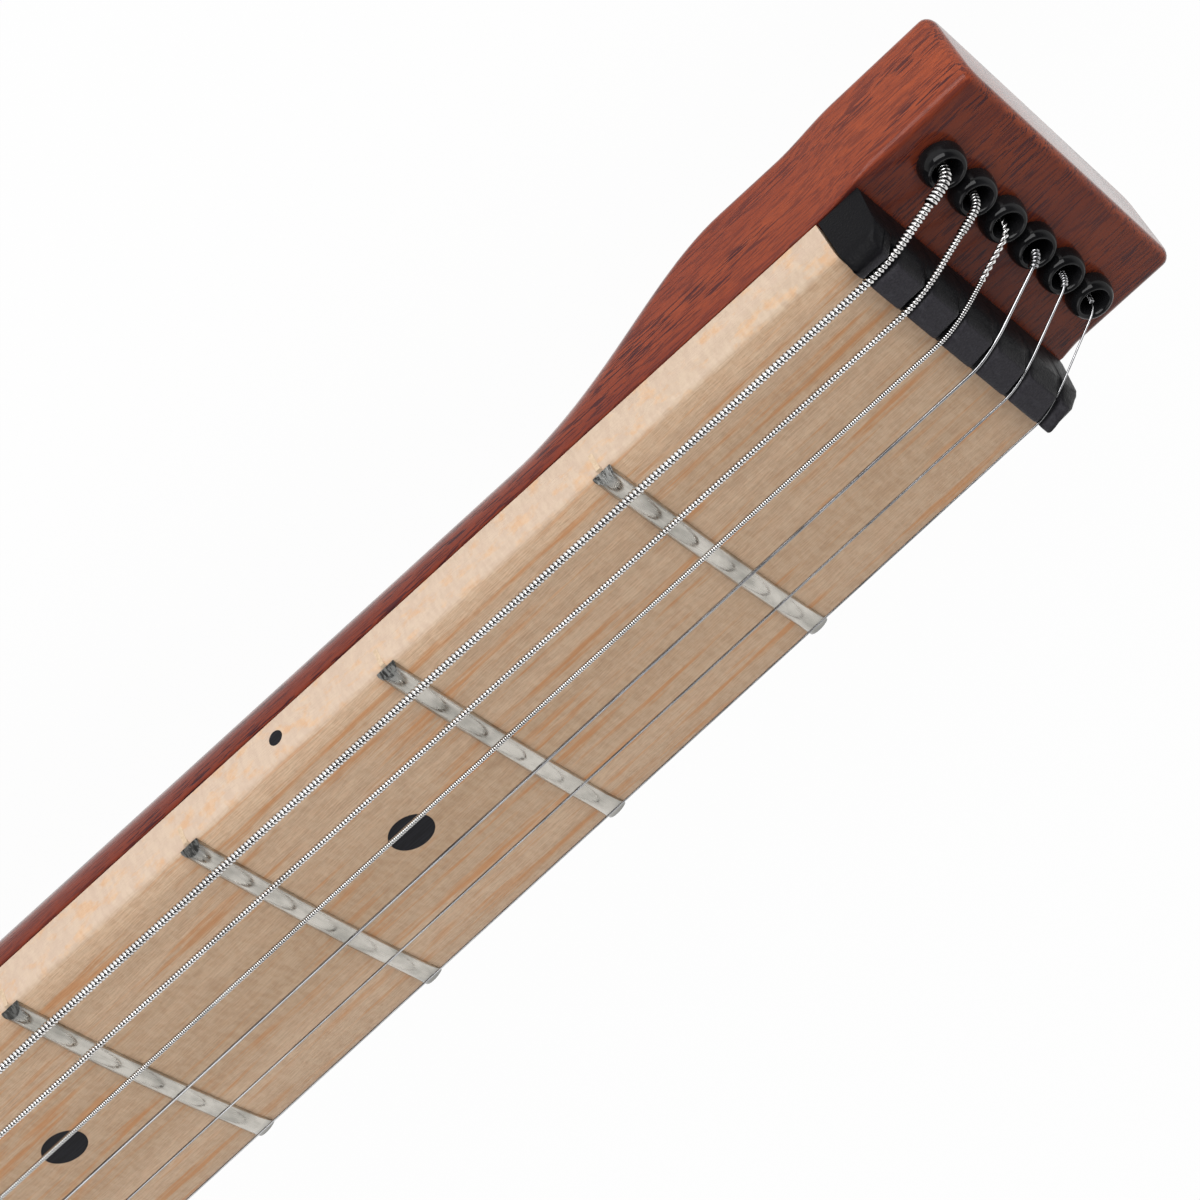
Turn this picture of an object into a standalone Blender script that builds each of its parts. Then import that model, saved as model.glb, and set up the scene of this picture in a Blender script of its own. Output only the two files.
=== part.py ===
# Headless travel electric guitar, lying on its back.
# X runs along the strings towards the head, Y towards the bass side, Z out of the playing face.
# The origin is on the body's flat back, on the centre line, under the ends of the string scale.
import math

import bmesh
import bpy
from mathutils import Matrix, Vector

MM = 0.001
GAP = 0.3 * MM
CUT_PAST = 4 * MM

# Strings and scale
SCALE = 648 * MM
STRING_NAMES = ["e6", "a5", "d4", "g3", "b2", "e1"]
STRING_DIAMETERS = [1.17 * MM, 0.91 * MM, 0.66 * MM, 0.43 * MM, 0.33 * MM, 0.25 * MM]
SPREAD_AT_NUT = 35.66 * MM
SPREAD_AT_BRIDGE = 51.8 * MM
STRING_OVER_BOARD_AT_NUT = 2.4 * MM
STRING_OVER_BOARD_AT_BRIDGE = 4.6 * MM
COMPENSATION = [3.2 * MM, 2.4 * MM, 1.7 * MM, 2.6 * MM, 1.6 * MM, 0.8 * MM]
WINDING_TURNS = 2
POINTS_PER_TURN = 12
WINDING_GAP = 0.45 * MM
BALL_RADIUS = 1.9 * MM
BALL_ROOM = 0.5 * MM
BALL_HALF_LENGTH = 1.5 * MM
BALL_ABOVE_BACK = 2.3 * MM

# Fingerboard and frets
FRET_COUNT = 22
BOARD_RADIUS = 305 * MM
BOARD_THICKNESS = 7.0 * MM
NUT_WIDTH = 43 * MM
WIDTH_AT_FRET_12 = 52.1 * MM
BOARD_PAST_LAST_FRET = 8 * MM
BOARD_EDGE_ROUND = 1.1 * MM
FRET_WIDTH = 2.7 * MM
FRET_HEIGHT = 1.2 * MM

# Body and neck
BODY_THICKNESS = 40 * MM
BODY_HALF_WIDTH = 46.5 * MM
BODY_FRONT = 190 * MM
BODY_REAR = -46 * MM
BODY_EDGE = 5 * MM
NECK_DEPTH = 11 * MM
NECK_DEPTH_AT_HEEL = 14 * MM
HEEL_LENGTH = 42 * MM
HEEL_STEP = 22 * MM
SHOULDER_LENGTH = 70 * MM
SHOULDER_INSET = 6 * MM
FLARE_START = 39 * MM
FLARE_END = 9 * MM
HEAD_DEPTH = 12.8 * MM
HEAD_HALF_WIDTH = 22.2 * MM
HEAD_LENGTH = 24 * MM
HEAD_EDGE = 2.2 * MM
HEAD_EDGE_STEP = 0.65 * MM
HEAD_RAMP = 3 * MM
NECK_TOP_EDGE = 0.4 * MM
DECK_TOP = 32 * MM
DECK_BOTTOM = 17 * MM
TAIL_LENGTH = 132 * MM
TAIL_EDGE = 2 * MM
DECK_HALF_WIDTHS = [34 * MM, 31 * MM, 27.5 * MM, 19 * MM]

# Nut
NUT_THICKNESS = 6.1 * MM
NUT_TOP_HALF_WIDTH = 19.3 * MM
NUT_FALL = 1.4 * MM
NUT_CLEARANCE = 0.15 * MM

# Ferrules
FERRULE_X = 14.3 * MM
FERRULE_SPACING = 6.3 * MM
FERRULE_RADIUS = 2.9 * MM
FERRULE_HEIGHT = 2.3 * MM
FERRULE_BORE = 1.6 * MM
FERRULE_STEM = 2.3 * MM
FERRULE_STEM_LENGTH = 4 * MM
FERRULE_POCKET = 4.5 * MM

# Bridge
BRIDGE_FRONT = 10 * MM
BRIDGE_REAR = -31 * MM
BRIDGE_HALF_WIDTH = 40 * MM
BRIDGE_THICKNESS = 2 * MM
BRIDGE_WALL_HEIGHT = 4.6 * MM
SADDLE_CLEARANCE = 0.56 * MM
SADDLE_LENGTH = 17 * MM
SADDLE_NOSE = 2.2 * MM
SADDLE_REAR_HEIGHT = 3.4 * MM

# Pickup
PICKUP_X = 40 * MM
PICKUP_LENGTH = 37 * MM
PICKUP_WIDTH = 68 * MM
PICKUP_BELOW_STRINGS = 3 * MM
PICKUP_DEPTH = 20 * MM
PICKUP_ROOM = 1.5 * MM
POLE_RADIUS = 2.4 * MM
POLE_RISE = 0.6 * MM
BOBBIN_HEIGHT = 1.6 * MM
BOBBIN_INSET = 0.3 * MM
RING_BORDER = 4 * MM
RING_TAB = 9 * MM
RING_THICKNESS = 4 * MM
RING_ROOM = 0.5 * MM
RING_CHAMFER = 1.2 * MM

# Controls
KNOB_Y = -36 * MM
VOLUME_X = 88 * MM
TONE_X = 122 * MM
KNOB_RADIUS = 8.5 * MM
KNOB_HEIGHT = 11 * MM
POT_RADIUS = 8 * MM
POT_DEPTH = 9.5 * MM
POT_BUSHING_RADIUS = 3.6 * MM
SHAFT_RADIUS = 3.0 * MM
POT_NUT_RADIUS = 5.6 * MM
POT_NUT_HEIGHT = 2 * MM
KNOB_LIFT = 0.6 * MM
KNOB_RIBS = 11
KNURL_DEPTH = 0.35 * MM
CAVITY_PAST_POT = 8 * MM
CAVITY_BESIDE_POT = 1.3 * MM
CAVITY_ROOF = 4.5 * MM
COVER_THICKNESS = 2 * MM
COVER_LIP = 2 * MM

# Output jack
JACK_X = -24 * MM
JACK_Z = 20 * MM
JACK_BORE = 3.25 * MM
JACK_BARREL = 4.5 * MM
JACK_CAN = 6.5 * MM
JACK_DEPTH = 26 * MM
JACK_PLATE_RADIUS = 10.5 * MM
JACK_PLATE_THICKNESS = 1.5 * MM
JACK_SEAT_DEPTH = 2 * MM
JACK_NUT_RADIUS = 6.2 * MM
JACK_NUT_HEIGHT = 1.8 * MM
JACK_BARREL_PAST_NUT = 0.7 * MM

# Lap rest and arm rest
REST_REAR_X = 12 * MM
REST_FRONT_X = 152 * MM
REST_Z = 14 * MM
REST_ROD_RADIUS = 4 * MM
REST_SOCKET_DEPTH = 26 * MM
REST_SOCKET_CLEARANCE = 0.35 * MM
LAP_REST_REACH = 78 * MM
ARM_REST_REACH = 52 * MM
REST_WAIST = 14 * MM
REST_BEND = 22 * MM

# Strap buttons
STRAP_BUTTON_RADIUS = 6.5 * MM
STRAP_BUTTON_NECK = 3.6 * MM
STRAP_BUTTON_LENGTH = 11 * MM
STRAP_BUTTON_X = 172 * MM
STRAP_FOOT_SHARE = 0.8
STRAP_SEAT_DEPTH = 1.5 * MM
STRAP_SEAT_AT_TAIL = 0.8 * MM

# Truss rod
TRUSS_RADIUS = 2.4 * MM
TRUSS_DROP = 4.4 * MM
WHEEL_RADIUS = 5 * MM
WHEEL_LENGTH = 6 * MM
WHEEL_BEFORE_BOARD = 4 * MM
TRUSS_STOP_BEFORE_NUT = 12 * MM
TRUSS_ROOM = 0.5 * MM
WHEEL_ROOM = 1 * MM
WHEEL_HOLES = 6
WHEEL_HOLE_RADIUS = 0.8 * MM
WHEEL_HOLE_DEPTH = 1.7 * MM

# Tuners: worm on the button shaft, worm wheel on the post
POST_XY = [(-72 * MM, 27 * MM), (-95 * MM, 24 * MM), (-118 * MM, 20 * MM)]
POST_RADIUS = 3.0 * MM
POST_WAIST = 2.7 * MM
POST_ABOVE_DECK = 11.5 * MM
POST_STEP = 0.8 * MM
POST_PAST_WHEEL = 1 * MM
STRING_HOLE_RADIUS = 0.9 * MM
WINDING_TOP_ABOVE_DECK = 8.6 * MM
BUSHING_RADIUS = 4.4 * MM
BUSHING_FLANGE = 5.8 * MM
BUSHING_FLANGE_THICKNESS = 1.2 * MM
BUSHING_LENGTH = 10 * MM
PLATE_THICKNESS = 1.2 * MM
WHEEL_TEETH = 14
TOOTH_PITCH = 2.4 * MM
WHEEL_FACE = 2.2 * MM
TOOTH_ADDENDUM = 0.7 * MM
TOOTH_DEDENDUM = 0.85 * MM
TOOTH_HALF = 0.45 * MM
WORM_PITCH_RADIUS = 2.4 * MM
WORM_CREST_RADIUS = 3.05 * MM
WORM_CORE_RADIUS = 1.55 * MM
THREAD_HALF_ROOT = 0.6 * MM
THREAD_HALF_CREST = 0.28 * MM
WORM_TURNS = 2.25
WORM_STEPS_PER_TURN = 10
EAR_THICKNESS = 1.5 * MM
EAR_WALL = 0.6 * MM
EAR_CLEARANCE = 0.35 * MM
PLATE_MARGIN = 1 * MM
PLATE_REAR = 6.5 * MM
PLATE_FRONT = 2 * MM
WORM_UNDER_PLATE = 0.5 * MM
SHAFT_PAST_EAR = 0.6 * MM
SHAFT_IN_BUTTON = 2 * MM
BUTTON_HALF_WIDTH = 7.6 * MM
BUTTON_LENGTH = 14 * MM
BUTTON_PAST_DECK = 3 * MM

# Worked out from the sizes above
BOARD_TOP = BODY_THICKNESS + BOARD_THICKNESS
BOARD_BOTTOM = BODY_THICKNESS + GAP
FRET_TAPER = (WIDTH_AT_FRET_12 - NUT_WIDTH) / (SCALE / 2)
SADDLE_WIDTH = SPREAD_AT_BRIDGE / 5 - SADDLE_CLEARANCE
RING_LENGTH = PICKUP_LENGTH + 2 * RING_BORDER
RING_WIDTH = PICKUP_WIDTH + 2 * RING_TAB
CAVITY_MARGIN = POT_RADIUS + CAVITY_PAST_POT
CAVITY_HALF_WIDTH = POT_RADIUS + CAVITY_BESIDE_POT
WHEEL_PITCH_RADIUS = WHEEL_TEETH * TOOTH_PITCH / (2 * math.pi)
WORM_OFFSET = WHEEL_PITCH_RADIUS + WORM_PITCH_RADIUS
PLATE_BOTTOM = DECK_BOTTOM - GAP - PLATE_THICKNESS
WORM_Z = PLATE_BOTTOM - WORM_UNDER_PLATE - WORM_CREST_RADIUS
WORM_HALF_LENGTH = WORM_TURNS * TOOTH_PITCH / 2 + THREAD_HALF_ROOT
EAR_INNER = WORM_HALF_LENGTH + EAR_CLEARANCE
HEAD_END = SCALE + HEAD_LENGTH
HEAD_BACK = BODY_THICKNESS - HEAD_DEPTH
BOARD_END = SCALE * 2 ** (-FRET_COUNT / 12) - BOARD_PAST_LAST_FRET
NUT_FRONT = SCALE + NUT_CLEARANCE
NUT_REAR = SCALE + NUT_THICKNESS
TRUSS_Z = BODY_THICKNESS - TRUSS_DROP
WHEEL_X = BOARD_END - WHEEL_BEFORE_BOARD - WHEEL_LENGTH / 2


# Basic tools

def clear_scene():
    for item in list(bpy.data.objects):
        bpy.data.objects.remove(item, do_unlink=True)


def material(name, colour, roughness, metallic=0.0):
    made = bpy.data.materials.new(name)
    made.use_nodes = True
    shader = made.node_tree.nodes["Principled BSDF"]
    shader.inputs["Base Color"].default_value = (*colour, 1)
    shader.inputs["Roughness"].default_value = roughness
    shader.inputs["Metallic"].default_value = metallic
    return made


def add_object(name, bm, finish=None, origin=(0, 0, 0), sharp=35):
    """Put a bmesh into the scene with its origin at the given point."""
    bmesh.ops.recalc_face_normals(bm, faces=bm.faces)
    bmesh.ops.translate(bm, verts=bm.verts, vec=-Vector(origin))
    mesh = bpy.data.meshes.new(name)
    bm.to_mesh(mesh)
    bm.free()
    mesh.shade_smooth()
    mesh.set_sharp_from_angle(angle=math.radians(sharp))
    made = bpy.data.objects.new(name, mesh)
    made.location = origin
    bpy.context.scene.collection.objects.link(made)
    if finish:
        mesh.materials.append(finish)
    else:
        made.hide_render = True
        made.display_type = "WIRE"
    return made


def combine(target, other, operation):
    step = target.modifiers.new(operation.lower() + "_" + other.name, "BOOLEAN")
    step.object = other
    step.operation = operation
    step.solver = "EXACT"


def loft(bm, sections):
    """Skin rings of equal count and close both ends."""
    rings = [[bm.verts.new(p) for p in ring] for ring in sections]
    count = len(rings[0])
    for low, high in zip(rings, rings[1:]):
        for i in range(count):
            j = (i + 1) % count
            bm.faces.new((low[i], low[j], high[j], high[i]))
    bm.faces.new(rings[0][::-1])
    bm.faces.new(rings[-1])


def lathe(bm, profile, segments, to_world=Matrix.Identity(4)):
    """Turn a closed profile of (radius, height) points about the local Z axis."""
    rings = []
    for radius, height in profile:
        if radius < 1e-9:
            rings.append([bm.verts.new(to_world @ Vector((0, 0, height)))])
            continue
        ring = []
        for i in range(segments):
            angle = 2 * math.pi * i / segments
            point = Vector((radius * math.cos(angle), radius * math.sin(angle), height))
            ring.append(bm.verts.new(to_world @ point))
        rings.append(ring)
    closed = len(rings[0]) > 1 and len(rings[-1]) > 1
    pairs = list(zip(rings, rings[1:]))
    if closed:
        pairs.append((rings[-1], rings[0]))
    for low, high in pairs:
        for i in range(segments):
            j = (i + 1) % segments
            corners = [low[i % len(low)], low[j % len(low)], high[j % len(high)], high[i % len(high)]]
            bm.faces.new(list(dict.fromkeys(corners)))


def rod_profile(radius, low, high):
    """Profile of a plain rod or round hole, for lathe."""
    return [(0, low), (radius, low), (radius, high), (0, high)]


def extrude(bm, outline, low, high):
    """Extrude an outline of (x, y) points from z=low to z=high."""
    loft(bm, [[Vector((x, y, z)) for x, y in outline] for z in (low, high)])


def rounded_rectangle(x0, x1, y0, y1, radius, steps=3):
    corners = [(x1 - radius, y1 - radius, 0), (x0 + radius, y1 - radius, 90),
               (x0 + radius, y0 + radius, 180), (x1 - radius, y0 + radius, 270)]
    points = []
    for cx, cy, start in corners:
        for i in range(steps + 1):
            angle = math.radians(start + 90 * i / steps)
            points.append((cx + radius * math.cos(angle), cy + radius * math.sin(angle)))
    return points


def block(bm, low, high):
    extrude(bm, [(low[0], low[1]), (high[0], low[1]), (high[0], high[1]), (low[0], high[1])], low[2], high[2])


def along(axis, centre):
    """Matrix that turns local Z to the axis and moves to the centre."""
    turn = Vector((0, 0, 1)).rotation_difference(Vector(axis)).to_matrix().to_4x4()
    return Matrix.Translation(centre) @ turn


def smooth_curve(points, value):
    """Read a monotone cubic through (x, value) points, so that it never overshoots."""
    if value <= points[0][0]:
        return points[0][1]
    if value >= points[-1][0]:
        return points[-1][1]
    slopes = [(b[1] - a[1]) / (b[0] - a[0]) for a, b in zip(points, points[1:])]
    i = max(k for k in range(len(slopes)) if points[k][0] <= value)

    def tangent(k):
        if k == 0 or k == len(slopes):
            return 0.0
        left, right = slopes[k - 1], slopes[k]
        if left * right <= 0:
            return 0.0
        return 2 * left * right / (left + right)

    span = points[i + 1][0] - points[i][0]
    t = (value - points[i][0]) / span
    t2, t3 = t * t, t * t * t
    return ((2 * t3 - 3 * t2 + 1) * points[i][1] + (t3 - 2 * t2 + t) * span * tangent(i)
            + (3 * t2 - 2 * t3) * points[i + 1][1] + (t3 - t2) * span * tangent(i + 1))


# Places that several pieces share

def board_half_width(x):
    return (NUT_WIDTH + FRET_TAPER * (SCALE - x)) / 2


def board_drop(y):
    return BOARD_RADIUS - math.sqrt(BOARD_RADIUS ** 2 - y ** 2)


def string_y(index, x):
    share = 1 - 2 * index / 5
    spread = SPREAD_AT_BRIDGE + (SPREAD_AT_NUT - SPREAD_AT_BRIDGE) * x / SCALE
    return share * spread / 2


def string_z(index, x):
    height = (STRING_OVER_BOARD_AT_BRIDGE
              + (STRING_OVER_BOARD_AT_NUT - STRING_OVER_BOARD_AT_BRIDGE) * x / SCALE)
    return BOARD_TOP + height - board_drop(string_y(index, x))


def ferrule_y(index):
    return (2.5 - index) * FERRULE_SPACING


def post_place(index):
    """Centre of a string's post and its side: 1 is the bass side."""
    if index < 3:
        return (*POST_XY[index], 1)
    x, y = POST_XY[5 - index]
    return (x, -y, -1)


def deck_half_width(x):
    stations = [(-TAIL_LENGTH, DECK_HALF_WIDTHS[3]), (POST_XY[2][0], DECK_HALF_WIDTHS[2]),
                (POST_XY[1][0], DECK_HALF_WIDTHS[1]), (POST_XY[0][0], DECK_HALF_WIDTHS[0]),
                (POST_XY[0][0] + 12 * MM, DECK_HALF_WIDTHS[0] + 3 * MM),
                (BODY_REAR, BODY_HALF_WIDTH - 2.5 * MM), (BODY_REAR + 20 * MM, BODY_HALF_WIDTH)]
    return smooth_curve(stations, x)


def saddle_place(index):
    """Where a string bends over its saddle."""
    x = -COMPENSATION[index]
    return Vector((x, string_y(index, 0), string_z(index, x)))


# Neck and body

def neck_section(x):
    """Half width, top, bottom, top edge radius, and the bottom corner's two radii at one station."""
    if x > BODY_FRONT:
        heel = BODY_FRONT + HEEL_LENGTH
        step = BODY_FRONT + HEEL_STEP
        width = smooth_curve([(BODY_FRONT, BODY_HALF_WIDTH - SHOULDER_INSET),
                              (step, board_half_width(step) + 2 * MM), (heel, board_half_width(heel))], x)
        if x > heel:
            width = board_half_width(x)
        if x > NUT_FRONT:
            width = smooth_curve([(NUT_FRONT, NUT_WIDTH / 2), (NUT_REAR + HEAD_RAMP, HEAD_HALF_WIDTH)], x)
        bottom = BODY_THICKNESS - smooth_curve(
            [(BODY_FRONT, BODY_THICKNESS), (BODY_FRONT + 14 * MM, BODY_THICKNESS * 0.6),
             (heel, NECK_DEPTH_AT_HEEL + 1 * MM), (SCALE / 2, NECK_DEPTH_AT_HEEL),
             (SCALE - FLARE_START, NECK_DEPTH), (SCALE - FLARE_END, HEAD_DEPTH)], x)
        squareness = smooth_curve([(BODY_FRONT, 0.0), (heel + 10 * MM, 1.0),
                                   (SCALE - 46 * MM, 1.0), (SCALE - FLARE_END, 0.0)], x)
        depth = BODY_THICKNESS - bottom
        corner = BODY_EDGE if x < SCALE / 2 else HEAD_EDGE
        side = corner + (width - 0.5 * MM - corner) * squareness
        rise = corner + (depth - 1.2 * MM - corner) * squareness
        top_edge = smooth_curve([(BODY_FRONT, BODY_EDGE * 0.6), (BODY_FRONT + 20 * MM, NECK_TOP_EDGE),
                                 (NUT_REAR, NECK_TOP_EDGE), (NUT_REAR + HEAD_RAMP, HEAD_EDGE)], x)
        return width, BODY_THICKNESS, bottom, top_edge, side, rise
    width = deck_half_width(x)
    shoulder = BODY_FRONT - SHOULDER_LENGTH
    if x > shoulder:
        width = smooth_curve([(shoulder, BODY_HALF_WIDTH), (BODY_FRONT, BODY_HALF_WIDTH - SHOULDER_INSET)], x)
    top = smooth_curve([(BODY_REAR - 14 * MM, DECK_TOP), (BODY_REAR - 4 * MM, BODY_THICKNESS)], x)
    bottom = smooth_curve([(BODY_REAR - 10 * MM, DECK_BOTTOM), (BODY_REAR, 0.0)], x)
    edge = smooth_curve([(BODY_REAR - 10 * MM, 2.5 * MM), (BODY_REAR + 10 * MM, BODY_EDGE)], x)
    return width, top, bottom, edge * 0.6, edge, edge


def section_ring(x, inset=0.0):
    """One closed ring of the neck and body loft."""
    width, top, bottom, top_edge, side, rise = neck_section(x)
    width, top, bottom = width - inset, top - inset, bottom + inset
    half = []
    for i in range(3):
        angle = math.radians(90 - 45 * i)
        half.append((width - top_edge + top_edge * math.cos(angle),
                     top - top_edge + top_edge * math.sin(angle)))
    for i in range(6):
        angle = math.radians(90 * i / 5)
        half.append((width - side + side * math.cos(angle), bottom + rise - rise * math.sin(angle)))
    ring = [Vector((x, y, z)) for y, z in half]
    ring += [Vector((x, -y, z)) for y, z in reversed(half)]
    return ring


def neck_stations():
    """Places of the rings, close together where the section changes fast."""
    tail = [-TAIL_LENGTH + TAIL_EDGE, -TAIL_LENGTH + 5 * MM, POST_XY[2][0], POST_XY[1][0], POST_XY[0][0]]
    ramp = [BODY_REAR - step * MM for step in (14, 11, 8, 5, 2, 0)]
    body = [BODY_REAR + 10 * MM, BODY_REAR + 22 * MM, BODY_FRONT - SHOULDER_LENGTH, BODY_FRONT - 45 * MM,
            BODY_FRONT - 20 * MM, BODY_FRONT]
    heel = [BODY_FRONT + step * MM for step in (4, 9, 14, 20, 27, 35, 43, 52)]
    neck = [SCALE / 2, SCALE - 150 * MM]
    flare = [SCALE - step * MM for step in (50, 43, 37, 31, 26, 21, 16, 12)] + [SCALE - FLARE_END]
    head = [SCALE, NUT_REAR, NUT_REAR + HEAD_RAMP / 2, NUT_REAR + HEAD_RAMP]
    return sorted(set(tail + ramp + body + heel + neck + flare + head))


def make_neck_body(finish):
    stations = neck_stations()
    tail_rounding = ((TAIL_EDGE, 1.6 * MM), (TAIL_EDGE * 0.7, 0.5 * MM))
    rings = [section_ring(stations[0] - ahead, inset) for ahead, inset in tail_rounding]
    rings += [section_ring(x) for x in stations]
    head_rounding = ((HEAD_EDGE, 0), (HEAD_EDGE_STEP, HEAD_EDGE_STEP), (0, HEAD_EDGE * 0.85))
    for back, inset in head_rounding:
        rings.append([Vector((HEAD_END - back, p.y, p.z)) for p in section_ring(HEAD_END, inset)])
    bm = bmesh.new()
    loft(bm, rings)
    body = add_object("neck_body", bm, finish)
    for cutter in (pickup_rout(), control_cavity(), truss_channel(), head_holes(), post_holes(),
                   rest_sockets(), jack_hole(), pot_holes(), strap_seats()):
        combine(body, cutter, "DIFFERENCE")
    return body


def pickup_rout():
    length, half = PICKUP_LENGTH / 2 + PICKUP_ROOM, PICKUP_WIDTH / 2 + PICKUP_ROOM
    bm = bmesh.new()
    extrude(bm, rounded_rectangle(PICKUP_X - length, PICKUP_X + length, -half, half, 4 * MM),
            BODY_THICKNESS - PICKUP_DEPTH, BODY_THICKNESS + CUT_PAST)
    return add_object("cut_pickup_rout", bm)


def cavity_outline(grow, radius):
    """The cavity's outline, grown on all sides but less towards the body's edge."""
    margin = CAVITY_MARGIN + grow
    return rounded_rectangle(VOLUME_X - margin, TONE_X + margin, KNOB_Y - CAVITY_HALF_WIDTH - grow * 0.35,
                             KNOB_Y + CAVITY_HALF_WIDTH + grow, radius)


def control_cavity():
    bm = bmesh.new()
    shelf = COVER_THICKNESS + 2 * GAP
    lip, inside = cavity_outline(COVER_LIP + GAP, 6 * MM), cavity_outline(0, 4 * MM)
    sections = [(lip, -CUT_PAST), (lip, shelf), (inside, shelf), (inside, BODY_THICKNESS - CAVITY_ROOF)]
    loft(bm, [[Vector((x, y, z)) for x, y in outline] for outline, z in sections])
    return add_object("cut_control_cavity", bm)


def truss_channel():
    bm = bmesh.new()
    half, above = TRUSS_RADIUS + TRUSS_ROOM, BODY_THICKNESS + CUT_PAST
    block(bm, (BOARD_END - 2 * MM, -half, TRUSS_Z - half), (SCALE - TRUSS_STOP_BEFORE_NUT, half, above))
    channel = add_object("cut_truss_channel", bm)
    bm = bmesh.new()
    room = WHEEL_RADIUS + WHEEL_ROOM
    extrude(bm, rounded_rectangle(WHEEL_X - WHEEL_LENGTH / 2 - 2 * MM, BOARD_END, -room, room, 2 * MM),
            TRUSS_Z - room, above)
    combine(channel, add_object("cut_wheel_pocket", bm), "UNION")
    return channel


def head_holes():
    """Stepped holes for the string ends: ferrule stem in front, ball end behind."""
    bm = bmesh.new()
    below, above = HEAD_BACK - CUT_PAST, BODY_THICKNESS + CUT_PAST
    pocket, seat = HEAD_BACK + FERRULE_POCKET, BODY_THICKNESS - FERRULE_STEM_LENGTH - GAP
    wide, stem = BALL_RADIUS + BALL_ROOM, FERRULE_STEM + GAP
    profile = [(0, below), (wide, below), (wide, pocket), (FERRULE_BORE, pocket), (FERRULE_BORE, seat),
               (stem, seat), (stem, above), (0, above)]
    for i in range(6):
        lathe(bm, profile, 8, Matrix.Translation((SCALE + FERRULE_X, ferrule_y(i), 0)))
    return add_object("cut_head_holes", bm)


def post_holes():
    bm = bmesh.new()
    profile = rod_profile(BUSHING_RADIUS + GAP, DECK_BOTTOM - CUT_PAST, DECK_TOP + CUT_PAST)
    for i in range(6):
        lathe(bm, profile, 16, Matrix.Translation((*post_place(i)[:2], 0)))
    return add_object("cut_post_holes", bm)


def rest_sockets():
    bm = bmesh.new()
    profile = rod_profile(REST_ROD_RADIUS + REST_SOCKET_CLEARANCE, BODY_HALF_WIDTH - REST_SOCKET_DEPTH,
                          BODY_HALF_WIDTH + CUT_PAST)
    for x in (REST_REAR_X, REST_FRONT_X):
        for side in (1, -1):
            lathe(bm, profile, 12, along((0, side, 0), (x, 0, REST_Z)))
    return add_object("cut_rest_sockets", bm)


def jack_hole():
    bm = bmesh.new()
    seat = BODY_HALF_WIDTH - JACK_SEAT_DEPTH
    bore, wide = JACK_CAN + 1 * MM, JACK_PLATE_RADIUS + 0.5 * MM
    inner, outer = seat - JACK_DEPTH - 3 * MM, BODY_HALF_WIDTH + CUT_PAST
    lathe(bm, [(0, inner), (bore, inner), (bore, seat), (wide, seat), (wide, outer), (0, outer)], 20,
          along((0, -1, 0), (JACK_X, 0, JACK_Z)))
    return add_object("cut_jack_hole", bm)


def pot_holes():
    bm = bmesh.new()
    low, high = BODY_THICKNESS - CAVITY_ROOF - CUT_PAST, BODY_THICKNESS + CUT_PAST
    profile = rod_profile(POT_BUSHING_RADIUS + GAP, low, high)
    for x in (VOLUME_X, TONE_X):
        lathe(bm, profile, 16, Matrix.Translation((x, KNOB_Y, 0)))
    return add_object("cut_pot_holes", bm)


def strap_button_places():
    """Name, direction and seat of each strap button."""
    side_y = neck_section(STRAP_BUTTON_X)[0] - STRAP_SEAT_DEPTH
    tail_x = -TAIL_LENGTH + STRAP_SEAT_AT_TAIL
    return [("strap_button_side", (0, 1, 0), (STRAP_BUTTON_X, side_y, BODY_THICKNESS / 2)),
            ("strap_button_tail", (-1, 0, 0), (tail_x, 0, (DECK_TOP + DECK_BOTTOM) / 2))]


def strap_seats():
    bm = bmesh.new()
    profile = rod_profile(STRAP_BUTTON_RADIUS * STRAP_FOOT_SHARE + 2 * GAP, 0, CUT_PAST + STRAP_SEAT_DEPTH)
    for _, axis, place in strap_button_places():
        lathe(bm, profile, 16, along(axis, place))
    return add_object("cut_strap_seats", bm)


# Fingerboard with its frets

def board_ring(x, lift):
    """One section of the board; lift is the fret's height above the wood at this place."""
    half = board_half_width(x)
    edge = BOARD_EDGE_ROUND
    side_top = BOARD_TOP - board_drop(half) - edge
    ring = [(-half, BOARD_BOTTOM), (-half, side_top)]
    flat = half - edge * 0.55
    top = [-flat] + [flat * share for share in (-0.6, -0.2, 0.2, 0.6)] + [flat]
    for i, y in enumerate(top):
        outer = i in (0, len(top) - 1)
        rise = lift * 0.25 - edge * 0.3 if outer else lift
        ring.append((y, BOARD_TOP - board_drop(y) + rise))
    ring += [(half, side_top), (half, BOARD_BOTTOM)]
    return [Vector((x, y, z)) for y, z in ring]


def fret_x(number):
    return SCALE * 2 ** (-number / 12)


def make_fingerboard(finish):
    rings = [board_ring(BOARD_END, 0)]
    for number in range(FRET_COUNT, 0, -1):
        x = fret_x(number)
        for offset, lift in ((-0.5, 0), (-0.22, 1), (0.22, 1), (0.5, 0)):
            rings.append(board_ring(x + offset * FRET_WIDTH, lift * FRET_HEIGHT))
    rings.append(board_ring(SCALE - NUT_CLEARANCE, 0))
    bm = bmesh.new()
    loft(bm, rings)
    return add_object("fingerboard", bm, finish)


# Nut and ferrules

def nut_route(index):
    """A string's way over the nut: before it, on its crown, over its back edge, at the ferrule's mouth."""
    y, z = string_y(index, SCALE), string_z(index, SCALE)
    before = Vector((SCALE - 2 * MM, y, z))
    crown = Vector((SCALE + 1.2 * MM, y, z))
    mouth_z = BODY_THICKNESS + GAP + FERRULE_HEIGHT + 0.6 * MM
    mouth = Vector((SCALE + FERRULE_X - 0.5 * MM, ferrule_y(index), mouth_z))
    rear = crown + (mouth - crown) * 0.28 + Vector((0, 0, 0.5 * MM))
    return before, crown, rear, mouth


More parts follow.
